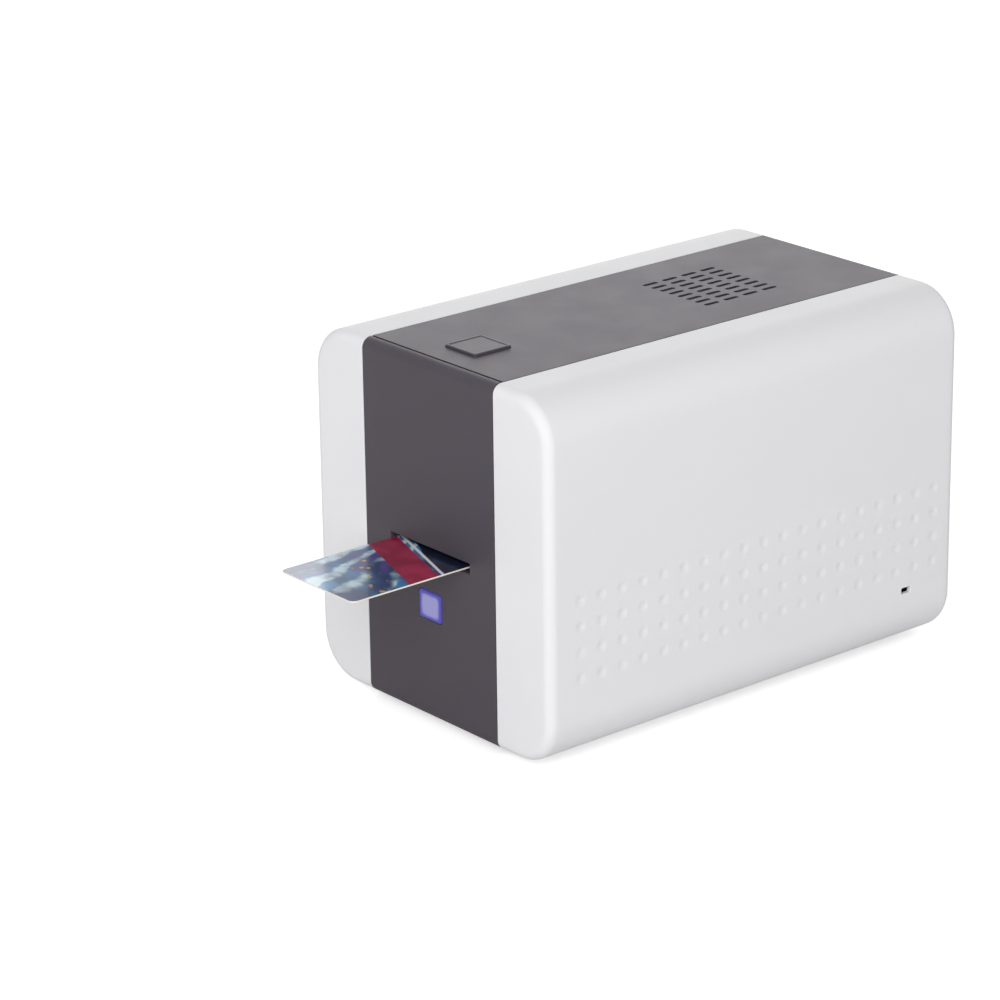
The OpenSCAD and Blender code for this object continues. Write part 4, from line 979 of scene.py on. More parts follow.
FINISHES: dict[str, Finish] = {finish.name: finish for finish in (
    Moulded("white_shell", "e7e7e9", 0.5, depth_mm=0.006, mottle=0.012, specular=0.3),
    Moulded("dark_shell", "4a454d", 0.47, depth_mm=0.006, mottle=0.05, specular=0.22),
    Moulded("dark_button", "4b474e", 0.44, depth_mm=0.005, mottle=0.04, specular=0.23),
    Moulded("black_plastic", "1d1d1f", 0.45, depth_mm=0.01, mottle=0.08),
    Moulded("guide_plastic", "2b2c2f", 0.38, depth_mm=0.006, mottle=0.06),
    Moulded("cartridge_plastic", "27415e", 0.4, depth_mm=0.01, mottle=0.05),
    Moulded("gear_plastic", "dedbcf", 0.38, depth_mm=0.004, mottle=0.03),
    Moulded("pulley_plastic", "232427", 0.4, depth_mm=0.005, mottle=0.05),
    Moulded("spool_plastic", "34363b", 0.42, depth_mm=0.008, mottle=0.05),
    Moulded("card_plastic", "ece6db", 0.3, depth_mm=0.002, mottle=0.01),
    Metal("frame_steel", "b9bcc0", 0.34, Grain.BRUSHED, Y, 0.07),
    Metal("black_steel", "2a2a2b", 0.5, Grain.BRUSHED, Y, 0.02),
    Metal("shaft_steel", "c8cacd", 0.2, Grain.TURNED, X, 0.0),
    Metal("screw_steel", "9c9a98", 0.3, Grain.TURNED, Z, 0.02),
    Metal("spring_steel", "a5a7aa", 0.28, Grain.BRUSHED, Z, 0.0),
    Metal("bush_brass", "b98f4f", 0.36, Grain.TURNED, X, 0.04),
    Metal("sink_aluminium", "c9cccf", 0.36, Grain.BRUSHED, Y, 0.0),
    Rubber("sleeve_rubber", "2f3033", 0.7, ribs_mm=0.5),
    Rubber("cleaning_sleeve", "3f6f9c", 0.55, bloom=0.12),
    Rubber("foot_rubber", "262627", 0.8),
    Rubber("belt_rubber", "202021", 0.75),
    InkFilm("film", "241f24", 0.28),
    WoundFilm("fresh_roll", "1c1a1e", 0.26, (0.028, 0.118), ("c9a91a", "a31a5c", "1479a0", "1b1a1e")),
    WoundFilm("used_roll", "3a3336", 0.3, (-0.092, 0.118), ("8f7d2e", "71304f", "2e5d70", "343136")),
    Ceramic("head_ceramic", "dcd8cc", 0.3),
    Board("board_green", "14512f", 0.35),
    Glow("lit_plastic", "9f9ec8", 0.4),
    PrintedFace("card_print", "4d9cc9", 0.3))}


# ---------------------------------------------------------------- outer shells

BOSSES: Sequence[Pair] = ((-105.0, 27.0), (-83.0, 144.0), (82.0, 27.0), (100.0, 144.0))


@dataclass
class SidePanel:
    """White side shell: a deep tub with big round corners, a field of dimples and an open inner side.

    Attributes:
        side: which side of the printer.
        half_w, half_l: half of the body's width and length.
        low, high: underside and top.
        corner: radius of the four long corners.
        edge: radius of the front and rear edges.
        wall: wall thickness.
        seam, lip: X of the open edge, and how far the lip reaches out from the last row of the skin.
        rim_r: radius that breaks the open edge.
        pitch, columns, rows: spacing and number of the dimples.
        first: Y and Z of the first dimple.
        dimple_r, dimple_depth: size of one.
        stride: about how wide the faces between the dimples are.
        lock, lock_size: centre and size of the lock slot in (Y, Z), on the right side only.
        lock_field: half of the size of the skin's opening that the slot's own face fills.
        boss_x, boss_r, bore_r, bore_depth: inner end and radius of a screw boss, and its blind bore.
        face_steps, edge_steps: lines of the skin down a front face and round its edge.
        strip_steps, corner_steps: lines along the top and round a corner.
    """

    side: Side
    half_w: float = 85.0
    half_l: float = 130.0
    low: float = 3.0
    high: float = 180.0
    corner: float = 23.0
    edge: float = 5.0
    wall: float = 2.5
    seam: float = 47.4
    lip: float = 1.0
    rim_r: float = 0.4
    pitch: float = 12.6
    columns: int = 19
    rows: int = 4
    first: Pair = (-111.5, 45.3)
    dimple_r: float = 3.4
    dimple_depth: float = 0.42
    stride: float = 6.0
    lock: Pair = (97.8, 34.0)
    lock_size: Pair = (6.0, 3.0)
    lock_field: Pair = (5.5, 3.5)
    boss_x: float = 43.0
    boss_r: float = 4.0
    bore_r: float = 1.5
    bore_depth: float = 12.0
    face_steps: int = 9
    edge_steps: int = 8
    strip_steps: int = 5
    corner_steps: int = 17

    def lines(self, axis: int, count: int, end: float) -> Array:
        """Places of grid lines between two ends: close together across each dimple, wide between them.

        Args:
            axis: 0 for the lines along the body, 1 for the rows of the side.
            count: how many dimples.
            end: the upper end; the lower one lies as far from the body's middle.

        Returns:
            The places in rising order.
        """
        first, lock, field = self.first[axis], self.lock[axis], self.lock_field[axis]
        start = (self.low + self.high if axis else 0.0) - end
        half = np.array([0.22, 0.44, 0.66, 0.84, 1.0, 1.18])
        offsets = self.dimple_r * np.concatenate([-half[::-1], [0.0], half])
        fine = (first + self.pitch * np.arange(count)[:, None] + offsets).reshape(-1)
        before = np.linspace(start, fine[0], max(2, int((fine[0] - start) / self.stride)), endpoint=False)
        after = np.linspace(fine[-1], end, max(3, int((end - fine[-1]) / self.stride)))[1:]
        return np.unique(np.round(np.concatenate([before, fine, after, [lock - field, lock + field]]), 6))

    def skin(self) -> tuple[Array, Array]:
        """Outer skin as a grid of an XZ contour (rows) by a front-to-rear profile (columns).

        The contour runs from the seam over the top, round the corner, down the side and back to the
        seam below. At an inset d it lies d further in, so its corner radius is the corner less d.
        The profile takes d from deep in the front face to the edge round, keeps it at 0 along the
        body, and mirrors that at the rear.

        Returns:
            Points and outward directions.
        """
        side_z = self.lines(1, self.rows, self.high - self.corner)
        body_y = self.lines(0, self.columns, self.half_l - self.edge)[1:-1]
        edge_x = self.seam + self.lip
        turn = np.linspace(0, np.pi / 2, self.edge_steps + 1)[1:]
        flat_d = np.linspace(self.half_w - edge_x, self.edge, self.face_steps)
        front_d = np.concatenate([flat_d, self.edge * (1 - np.sin(turn))])
        front_y = np.concatenate([0 * flat_d - self.half_l, self.edge - self.half_l - self.edge * np.cos(turn)])
        front_n = np.concatenate([0 * flat_d - 1, -np.cos(turn)])
        d = np.concatenate([front_d, 0 * body_y, front_d[::-1]])
        y = np.concatenate([front_y, body_y, -front_y[::-1]])
        n_y = np.concatenate([front_n, 0 * body_y, -front_n[::-1]])
        n_d = np.sqrt(np.clip(1 - n_y ** 2, 0, 1))
        radius = np.maximum(self.corner - d, 0.0)
        centre_x = self.half_w - np.maximum(self.corner, d)
        centre_z = (self.high - self.low) / 2 - np.maximum(self.corner, d)
        strip = np.linspace(0, 1, self.strip_steps + 1)[:-1, None]
        arc = np.linspace(np.pi / 2, 0, self.corner_steps)[:, None]
        share = ((side_z[::-1] - side_z[0]) / (side_z[-1] - side_z[0]))[1:-1, None]
        upper_x = np.concatenate([edge_x + strip * (centre_x - edge_x), centre_x + radius * np.cos(arc)])
        upper_z = np.concatenate([centre_z + radius + 0 * strip, centre_z + radius * np.sin(arc)])
        upper_n = np.concatenate([0 * strip, np.cos(arc)]), np.concatenate([0 * strip + 1, np.sin(arc)])
        x = np.concatenate([upper_x, centre_x + radius + 0 * share, upper_x[::-1]])
        z = np.concatenate([upper_z, (2 * share - 1) * centre_z, -upper_z[::-1]]) + (self.low + self.high) / 2
        n_x = np.concatenate([upper_n[0], 0 * share + 1, upper_n[0][::-1]]) * n_d
        n_z = np.concatenate([upper_n[1], 0 * share, -upper_n[1][::-1]]) * n_d
        return np.stack([x, y + 0 * x, z], -1), np.stack([n_x, n_y + 0 * x, n_z], -1)

    def dimples(self, points: Array) -> Array:
        """Depth of the dimple field at each point.

        With t the distance from a dimple's centre over its radius, the depth is the full depth times
        the square of 1 less t squared, so that each bowl runs out smoothly at its rim.

        Args:
            points: points of the skin.

        Returns:
            Depth at each point, in millimetres.
        """
        flat = points[..., 1:] - self.first
        number = np.clip(np.round(flat / self.pitch), 0, (self.columns - 1, self.rows - 1))
        away = np.linalg.norm(flat - self.pitch * number, axis=-1) / self.dimple_r
        bowl = np.clip(1 - away ** 2, 0, 1) ** 2
        return np.where(points[..., X] > self.half_w - 0.01, self.dimple_depth * bowl, 0.0)

    def border(self, field: Array) -> Array:
        """A grid's values along the open edge: over the top, down the rear, under and up the front."""
        side = slice(self.strip_steps + self.corner_steps, len(field) - self.strip_steps - self.corner_steps)
        return np.concatenate([field[0], field[side, -1], field[-1, ::-1], field[side, 0][::-1]])

    def lip_rim(self, points: Array, normal: Array) -> list[Patch]:
        """The lip round the open side: its outer and inner faces and its eased edge.

        Args:
            points, normal: the skin's points and outward directions.

        Returns:
            Its surfaces.
        """
        middle = (self.seam, 0.0, (self.low + self.high) / 2)
        loop, down = self.border(points), -self.border(normal)
        start = loop - (self.lip - self.rim_r, 0, 0)
        outer, inner = (grid(np.stack([loop, start], 1) + down[:, None] * depth, (True, False))
                        for depth in (0.0, self.wall))
        edge = rim(start, (-1.0, 0, 0), down, self.wall, self.rim_r)
        return [edge.facing((2 * self.half_w, 0.0, middle[Z])), outer.facing(middle), inner.facing(middle, False)]

    def lock_slot(self, points: Array, field: tuple[int, int, int, int]) -> list[Patch]:
        """The lock slot with the flat faces round it that fill the skin's opening.

        Args:
            points: the skin's points.
            field: the opening's cells: row from, row to, column from and column to.

        Returns:
            Its surfaces.
        """
        r0, r1, c0, c1 = field
        ring = np.concatenate([points[r0, c0:c1], points[r0:r1, c1], points[r1, c1:c0:-1], points[r1:r0:-1, c0]])
        hole, way = rounded_outline(self.lock, np.add(self.lock_size, 2 * self.rim_r), 0.4 + self.rim_r)
        centre = (self.half_w - self.wall / 2, *self.lock)
        faces = [plate(ring[:, 1:], [hole], X, x).facing(centre) for x in (self.half_w, self.half_w - self.wall)]
        walls = rim(laid(hole, X, self.half_w), laid(-way, X, 0.0), (-1.0, 0, 0), self.wall, self.rim_r)
        return [*faces, walls.facing(centre, False)]

    def boss(self, y: float, z: float) -> Patch:
        """Screw boss with its blind bore, from the bore's end round the mouth to a root inside the wall.

        Args:
            y: its place along the body.
            z: its height.

        Returns:
            Its surface.
        """
        end, root = self.boss_x + self.bore_depth, self.half_w - self.wall + 0.5
        bore = softened([(self.boss_x, self.bore_r), (end, self.bore_r), (end, 0.0)], 0.2)
        outer = softened([(self.boss_x, self.bore_r), (self.boss_x, self.boss_r),
                          (root, self.boss_r), (root, 0.0)], 0.3)
        return turned(np.concatenate([bore[::-1], outer[1:]]), (0, y, z), steps=40)

    def build(self) -> bpy.types.Object:
        """Builds the panel and rides it on the chassis.

        Returns:
            The object.
        """
        points, normal = self.skin()
        middle = (self.seam, 0.0, (self.low + self.high) / 2)
        patches = self.lip_rim(points, normal) + [self.boss(y, z) for y, z in BOSSES]
        skip: list[tuple[int, int, int, int]] = []
        if self.side is Side.RIGHT:
            heights, places = points[:, points.shape[1] // 2, Z], points[0, :, Y]
            rows = np.flatnonzero(np.abs(heights - self.lock[1]) < self.lock_field[1] + 0.1)
            cols = np.flatnonzero(np.abs(places - self.lock[0]) < self.lock_field[0] + 0.1)
            skip = [(rows[0], rows[-1], cols[0], cols[-1])]
            patches += self.lock_slot(points, skip[0])
        patches.append(grid(points - self.dimples(points)[..., None] * normal, skip=skip).facing(middle))
        patches.append(grid(points - self.wall * normal, skip=skip).facing(middle, False))
        if self.side is Side.LEFT:
            patches = [patch.mirrored() for patch in patches]
        node = f"{self.side.name.lower()}_side_panel"
        return Piece(f"{node}_shell", "chassis", node, ["white_shell"]).from_patches(patches)


# ---------------------------------------------------------------- card


@dataclass
class Card:
    """Plastic card standing in the slot, printed on its upper face.

    Attributes:
        middle: centre of the card.
        size: width, length and thickness.
        corner: radius of its corners.
        edge: radius of its cut edges.
    """

    middle: Spot = (0.0, -153.2, 87.0)
    size: Spot = (53.98, 85.6, 0.76)
    corner: float = 3.18
    edge: float = 0.09

    def build(self) -> bpy.types.Object:
        """Builds the card from its printed face, its plain face and the cut edge round them.

        Returns:
            The object.
        """
        width, length, thick = self.size
        loop, way = rounded_outline(self.middle[:2], (width - 2 * self.edge, length - 2 * self.edge),
                                    self.corner - self.edge, 10)
        top = self.middle[Z] + thick / 2
        edge = rim(laid(loop, Z, top), laid(way, Z, 0.0), (0, 0, -1.0), thick, self.edge)
        faces = [plate(loop, [], Z, place).dressed(finish) for place, finish in ((top, 1), (top - thick, 0))]
        return Piece("printed_card", "card", "card", ["card_plastic", "card_print"]).from_patches(
            [patch.facing(self.middle) for patch in (*faces, edge)])


# ---------------------------------------------------------------- buttons and feet


@dataclass
class Button:
    """Push button: a cap with a round along its upper edge, a flange and a stem, all with round corners.

    Attributes:
        name, node, finish: the piece's name, the node and body it stands for, and its finish.
        axis, way: the axis it moves along, and 1 or -1 for the way it faces.
        centre: its middle, across that axis.
        size, corner: the cap's outline and the radius of its corners and the flange's.
        skirt: the cap's profile below its round, as inset and place.
        top, round_r: place of the cap's upper edge and radius of its round.
        dish: width of the flat rim, and width and depth of the slope to the sunk top.
        flange, flange_at, flange_ease: outline, both places and bevel of the flange.
        stem, stem_at, stem_r: outline, free end and root, and corner radius of the stem.
    """

    name: str
    node: str
    finish: str
    axis: int
    way: int
    centre: Pair
    size: Pair
    skirt: Sequence[Pair]
    top: float
    dish: Spot
    flange: Pair
    flange_at: Pair
    flange_ease: float
    stem: Pair
    stem_at: Pair
    stem_r: float
    corner: float = 1.5
    round_r: float = 0.5

    def build(self) -> bpy.types.Object:
        """Builds the button: a quarter round up to the rim, then a fall of 3 t squared less 2 t cubed.

        Returns:
            The object.
        """
        turn, fall = np.linspace(0, np.pi / 2, 6), np.linspace(0, 1, 6)
        rim_w, slope, depth = self.dish
        edge = [self.round_r * (1 - np.cos(turn)), self.top + self.way * self.round_r * (np.sin(turn) - 1)]
        dish = [self.round_r + rim_w + slope * fall, self.top - self.way * depth * fall ** 2 * (3 - 2 * fall)]
        cap = np.concatenate([self.skirt, np.transpose(edge), np.transpose(dish)[:len(fall) if depth else 0]])
        near, far = self.flange_at
        brim = softened([(self.flange_ease, near), (0.0, near), (0.0, far), (self.flange_ease, far)], 0.2)
        end, root = self.stem_at
        post = softened([(0.5, end), (0.0, end), (0.0, root)], 0.4)
        parts = ((self.size, self.corner, cap), (self.flange, self.corner, brim), (self.stem, self.stem_r, post))
        return Piece(self.name, self.node, self.node, [self.finish]).from_patches(
            [patch for size, radius, rows in parts for patch in lofted(self.centre, size, radius, rows, self.axis)])


BUTTONS = (
    Button("release_cap", "release_button", "dark_button", Z, 1, (0.0, -99.0), (22.0, 22.0),
           ((0.25, 176.9), (0.0, 177.15)), top=181.3, dish=(0.7, 0.5, 0.3), flange=(21.0, 26.0),
           flange_at=(175.7, 176.9), flange_ease=0.4, stem=(8.0, 2.0), stem_at=(166.8, 176.9), stem_r=0.4),
    Button("lit_diffuser", "front_button", "lit_plastic", Y, -1, (0.0, 60.4), (16.0, 13.8),
           ((0.0, -126.8),), top=-130.3, dish=(0.0, 0.0, 0.0), flange=(19.0, 16.8),
           flange_at=(-127.2, -126.0), flange_ease=0.3, stem=(4.0, 4.0), stem_at=(-120.2, -126.5), stem_r=0.5))


@dataclass
class Feet:
    """Four rubber feet: a low drum with a ring groove in its sole and a soft lower edge.

    Attributes:
        place: X and Y of one foot; the others are its mirror images.
        radius, height: size of a foot.
        groove: inner and outer radius of the groove.
        groove_depth: depth of the groove.
    """

    place: Pair = (55.4, 102.0)
    radius: float = 6.5
    height: float = 3.0
    groove: Pair = (2.6, 4.0)
    groove_depth: float = 0.5

    def build(self) -> bpy.types.Object:
        """Builds the feet as one piece on the chassis.

        Returns:
            The object.
        """
        r, deep, (near, far) = self.radius, self.groove_depth, self.groove
        rows = softened([(0.0, 0.0), (0.0, near), (deep, near + 0.3), (deep, far - 0.3), (0.0, far), (0.0, r - 0.8),
                         (0.8, r - 0.05), (2.4, r), (self.height, r - 0.3), (self.height, 0.0)], 0.25)
        return Piece("moulded_feet", "chassis", "rubber_feet", ["foot_rubber"]).from_patches(
            [turned(rows, (a * self.place[0], b * self.place[1], 0.0), Z) for a in (-1, 1) for b in (-1, 1)])


# ---------------------------------------------------------------- rollers and ribbon


def mirrored_profile(right: Sequence[Pair], soft: float) -> Array:
    """A softened profile made of its right half, with that half's mirror image before it."""
    half = np.array(right, float)
    return softened(np.concatenate([half[::-1] * (-1, 1), half]), soft)


@dataclass
class FeedRoller:
    """Driven roller: a ground steel shaft with a moulded belt pulley, and a rubber sleeve.

    Attributes:
        name: start of the names of pieces and nodes.
        body: the body it turns with.
        y, z: its axis.
        shaft_x, shaft_r: ends and radius of the shaft.
        groove_x, groove_depth: the clip groove near its right end.
        chamfer: bevel of the shaft's and the pulley's ends.
        pulley_x, pulley_r, rim_r: ends and radius of the pulley, and radius of its rim.
        sleeve_half, sleeve_r, sleeve_ease: half length and radius of the sleeve, and bevel of its ends.
        lap: how far a ring's bore lies under the shaft's surface.
    """

    name: str
    body: str
    y: float
    z: float = 79.82
    shaft_x: Pair = (-58.0, 44.5)
    shaft_r: float = 3.0
    groove_x: Pair = (40.2, 40.9)
    groove_depth: float = 0.35
    chamfer: float = 0.3
    pulley_x: Pair = (-57.8, -51.0)
    pulley_r: float = 7.0
    rim_r: float = 9.2
    sleeve_half: float = 22.0
    sleeve_r: float = 6.5
    sleeve_ease: float = 0.5
    lap: float = 0.02

    def build(self) -> list[bpy.types.Object]:
        """Builds the shaft with its pulley, and the sleeve.

        Returns:
            The two objects.
        """
        centre = (0.0, self.y, self.z)
        s, p, q, r, c = self.shaft_r, self.pulley_r, self.rim_r, self.sleeve_r, self.chamfer
        (a, b), (g0, g1), (w0, w1), floor = self.shaft_x, self.groove_x, self.pulley_x, s - self.groove_depth
        bar = softened([(a, 0.0), (a, s - c), (a + c, s), (g0, s), (g0, floor), (g1, floor),
                        (g1, s), (b - c, s), (b, s - c), (b, 0.0)], 0.06)
        wheel = softened([(w0, s), (w0, q - c), (w0 + c, q), (w0 + 0.6, q), (w0 + 0.8, p + 0.4), (w0 + 0.8, p),
                          (w1, p), (w1, s)], 0.2)
        half, ease = self.sleeve_half, self.sleeve_ease
        tube = mirrored_profile([(half - ease, r), (half, r - ease), (half, s)], 0.15)
        shaft = Piece(f"{self.name}_shaft_turned", self.body, f"{self.name}_shaft", ["shaft_steel", "pulley_plastic"])
        sleeve = Piece(f"{self.name}_sleeve_ground", self.body, f"{self.name}_sleeve", ["sleeve_rubber"])
        return [shaft.from_patches([turned(bar, centre, steps=40),
                                    turned(ringed(wheel, s - self.lap), centre, steps=56).dressed(1)]),
                sleeve.from_patches([turned(ringed(tube, s - self.lap), centre, steps=56)])]


@dataclass
class PinchRoller:
    """Free roller above the card: a thin steel axle and a soft face.

    Attributes:
        node: the node it stands for.
        body: the body it turns with.
        y, z: its axis.
        radius: radius of its face.
        face: finish of its face.
        axle_half, axle_r, axle_ease: half length and radius of the axle, and bevel of its ends.
        face_half, face_ease: half length of the face, and bevel of its ends.
        lap: how far the face's bore lies under the axle's surface.
    """

    node: str
    body: str
    y: float
    z: float
    radius: float
    face: str
    axle_half: float = 43.8
    axle_r: float = 2.0
    axle_ease: float = 0.25
    face_half: float = 20.0
    face_ease: float = 0.4
    lap: float = 0.02

    def build(self) -> bpy.types.Object:
        """Builds axle and face as one piece.

        Returns:
            The object.
        """
        centre, r, end, edge = (0.0, self.y, self.z), self.axle_r, self.axle_half, self.face_half
        axle = mirrored_profile([(end - self.axle_ease, r), (end, r - self.axle_ease), (end, 0.0)], 0.06)
        face = mirrored_profile([(edge - self.face_ease, self.radius), (edge, self.radius - self.face_ease),
                                 (edge, r)], 0.15)
        return Piece(f"{self.node}_ground", self.body, self.node, [self.face, "shaft_steel"]).from_patches(
            [turned(ringed(face, r - self.lap), centre), turned(axle, centre, steps=32).dressed(1)])


@dataclass
class Spool:
    """Ribbon spool: a tube with thin flanges and the wound ribbon between them.

    Attributes:
        name: the piece's name.
        body: the body it turns with.
        y, z: its axis.
        roll_r: radius of the wound ribbon.
        ribbon: finish of the wound ribbon.
        stub: whether a stub axle stands out on the right.
        roll_half, roll_bore: half length and bore of the wound ribbon.
        flange_x, flange_out: both faces of a flange, and how far it stands out past the ribbon.
        core_r, bore_r: radii of the tube and of its bore.
        ease: bevel of the flanges and of the axle's end.
        axle_x, axle_r: ends of the stub axle's thick and thin parts, and their radii.
    """

    name: str
    body: str
    y: float
    roll_r: float
    ribbon: str
    stub: bool = False
    z: float = 118.0
    roll_half: float = 30.28
    roll_bore: float = 5.5
    flange_x: Pair = (30.3, 31.5)
    flange_out: float = 1.0
    core_r: float = 6.0
    bore_r: float = 4.0
    ease: float = 0.3
    axle_x: Spot = (23.5, 36.5, 44.5)
    axle_r: Pair = (4.05, 3.0)

    def build(self) -> bpy.types.Object:
        """Builds the spool, its ribbon wandering by two sines of the place along the roll.

        Returns:
            The object.
        """
        centre, ease, rim_r, (f0, f1) = (0.0, self.y, self.z), self.ease, self.roll_r + self.flange_out, self.flange_x
        t = np.linspace(-self.roll_half, self.roll_half, 90)
        swell = self.roll_r - 0.06 * np.abs(np.sin(t * 0.9)) - 0.05 * np.abs(np.sin(t * 2.3 + 1.0))
        core = mirrored_profile([(f0, self.core_r), (f0, rim_r - ease), (f0 + ease, rim_r), (f1 - ease, rim_r),
                                 (f1, rim_r - ease), (f1, self.bore_r)], 0.2)
        patches = [turned(ringed(np.column_stack([t, swell]), self.roll_bore), centre, steps=72).dressed(1),
                   turned(ringed(core, self.bore_r - 0.02), centre, steps=72)]
        if self.stub:
            (a, b, c), (thick, thin) = self.axle_x, self.axle_r
            axle = softened([(a, 0.0), (a, thick), (b, thick), (b, thin), (c - ease, thin), (c, thin - ease),
                             (c, 0.0)], 0.1)
            patches.append(turned(axle, centre, steps=40))
        return Piece(self.name, self.body, f"{self.body}_spool", ["spool_plastic", self.ribbon], "film").from_patches(
            patches)


@dataclass
class RibbonSheet:
    """The ribbon between its two rolls: a thin sheet drawn tight under the print line.

    Attributes:
        half: half of its width.
        thickness: its thickness.
        take_up, supply: Y, Z and radius of the two rolls.
        corners: the sheet's run in (Y, Z) between them.
        bend: how far before a corner the sheet starts to bend.
        columns: lines across its width.
    """

    half: float = 30.0
    thickness: float = 0.2
    take_up: Spot = (-92.0, 118.0, 15.3)
    supply: Spot = (28.0, 118.0, 17.3)
    corners: Sequence[Pair] = ((-46.0, 91.98), (-38.0, 87.78), (-22.0, 87.78), (-14.0, 91.98))
    bend: float = 3.0
    columns: int = 13

    @staticmethod
    def touch(point: Pair, roll: Spot, side: int) -> Pair:
        """Where the tangent from a point meets a roll.

        Args:
            point: the point, in (Y, Z).
            roll: Y, Z and radius of the roll.
            side: which of the two tangents, -1 or 1.

        Returns:
            The meeting point.
        """
        y, z, radius = roll
        away = math.atan2(point[1] - z, point[0] - y)
        angle = away + side * math.acos(radius / math.hypot(point[0] - y, point[1] - z))
        return y + radius * math.cos(angle), z + radius * math.sin(angle)

    def build(self) -> bpy.types.Object:
        """Builds the sheet on the chassis: a closed band round its run, and a strip at each side.

        Returns:
            The object.
        """
        line = softened([self.touch(self.corners[0], self.take_up, -1), *self.corners,
                         self.touch(self.corners[-1], self.supply, 1)], self.bend, 6)
        way = np.gradient(line, axis=0)
        lift = np.column_stack([-way[:, 1], way[:, 0]]) / np.linalg.norm(way, axis=1)[:, None] * self.thickness / 2
        upper, lower = line + lift, line - lift
        around = np.concatenate([upper, lower[::-1]])
        across = np.linspace(-self.half, self.half, self.columns)
        band = grid(np.stack([laid(around, X, x) for x in across], 1), (True, False))
        sides = [grid(np.stack([laid(upper, X, x), laid(lower, X, x)], 1)) for x in (-self.half, self.half)]
        return Piece("ribbon_sheet", "chassis", "ribbon_film", ["film"]).from_patches(
            [patch.facing((0.0, *line.mean(0))) for patch in (band, *sides)])


@dataclass
class HeadSprings:
    """Two coil springs that press the print head down, ground flat at both ends.

    Attributes:
        places: X and Y of each spring's axis.
        radius: radius of the coil at the wire's middle.
        wire: wire diameter.
        low, high: the spring's two ends.
        turns: number of turns, the two closed end turns among them.
        ease: how much of the climb is slowed towards the ends.
        travel: how far the head lifts; not used.
    """

    places: Sequence[Pair] = ((-16.0, -30.0), (16.0, -30.0))
    radius: float = 4.0
    wire: float = 0.9
    low: float = 112.28
    high: float = 132.08
    turns: float = 7.5
    ease: float = 0.65
    travel: float = 1.2

    def build(self) -> bpy.types.Object:
        """Builds the springs: a wire circle carried along a helix whose end turns lie close.

        The climb over the share u of the wire's length is u with its ends slowed, u less the sine of
        a full turn of u over a full turn, mixed with u itself by the ease.

        Returns:
            The object.
        """
        u = np.linspace(0, 1, int(self.turns * 40))[:, None]
        w = circle(12)[None, :]
        climb = (1 - self.ease) * u + self.ease * (u - np.sin(2 * np.pi * u) / (2 * np.pi))
        angle = 2 * np.pi * self.turns * u
        r = self.wire / 2
        reach = self.radius + r * np.cos(w)
        height = self.low + r + climb * (self.high - self.low - 2 * r) + r * np.sin(w)
        coil = np.stack([reach * np.cos(angle), reach * np.sin(angle), height], -1)
        ends = np.broadcast_to(coil.mean(1, keepdims=True), coil.shape)
        wire = np.concatenate([ends[:1], coil, ends[-1:]])
        thing = Piece("head_coil_springs", "lid", "head_springs", ["spring_steel"], sharp=60.0).from_patches(
            [grid(wire + (x, y, 0.0), (False, True)).facing((x, y, (self.low + self.high) / 2))
             for x, y in self.places])
        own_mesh(thing)
        return thing


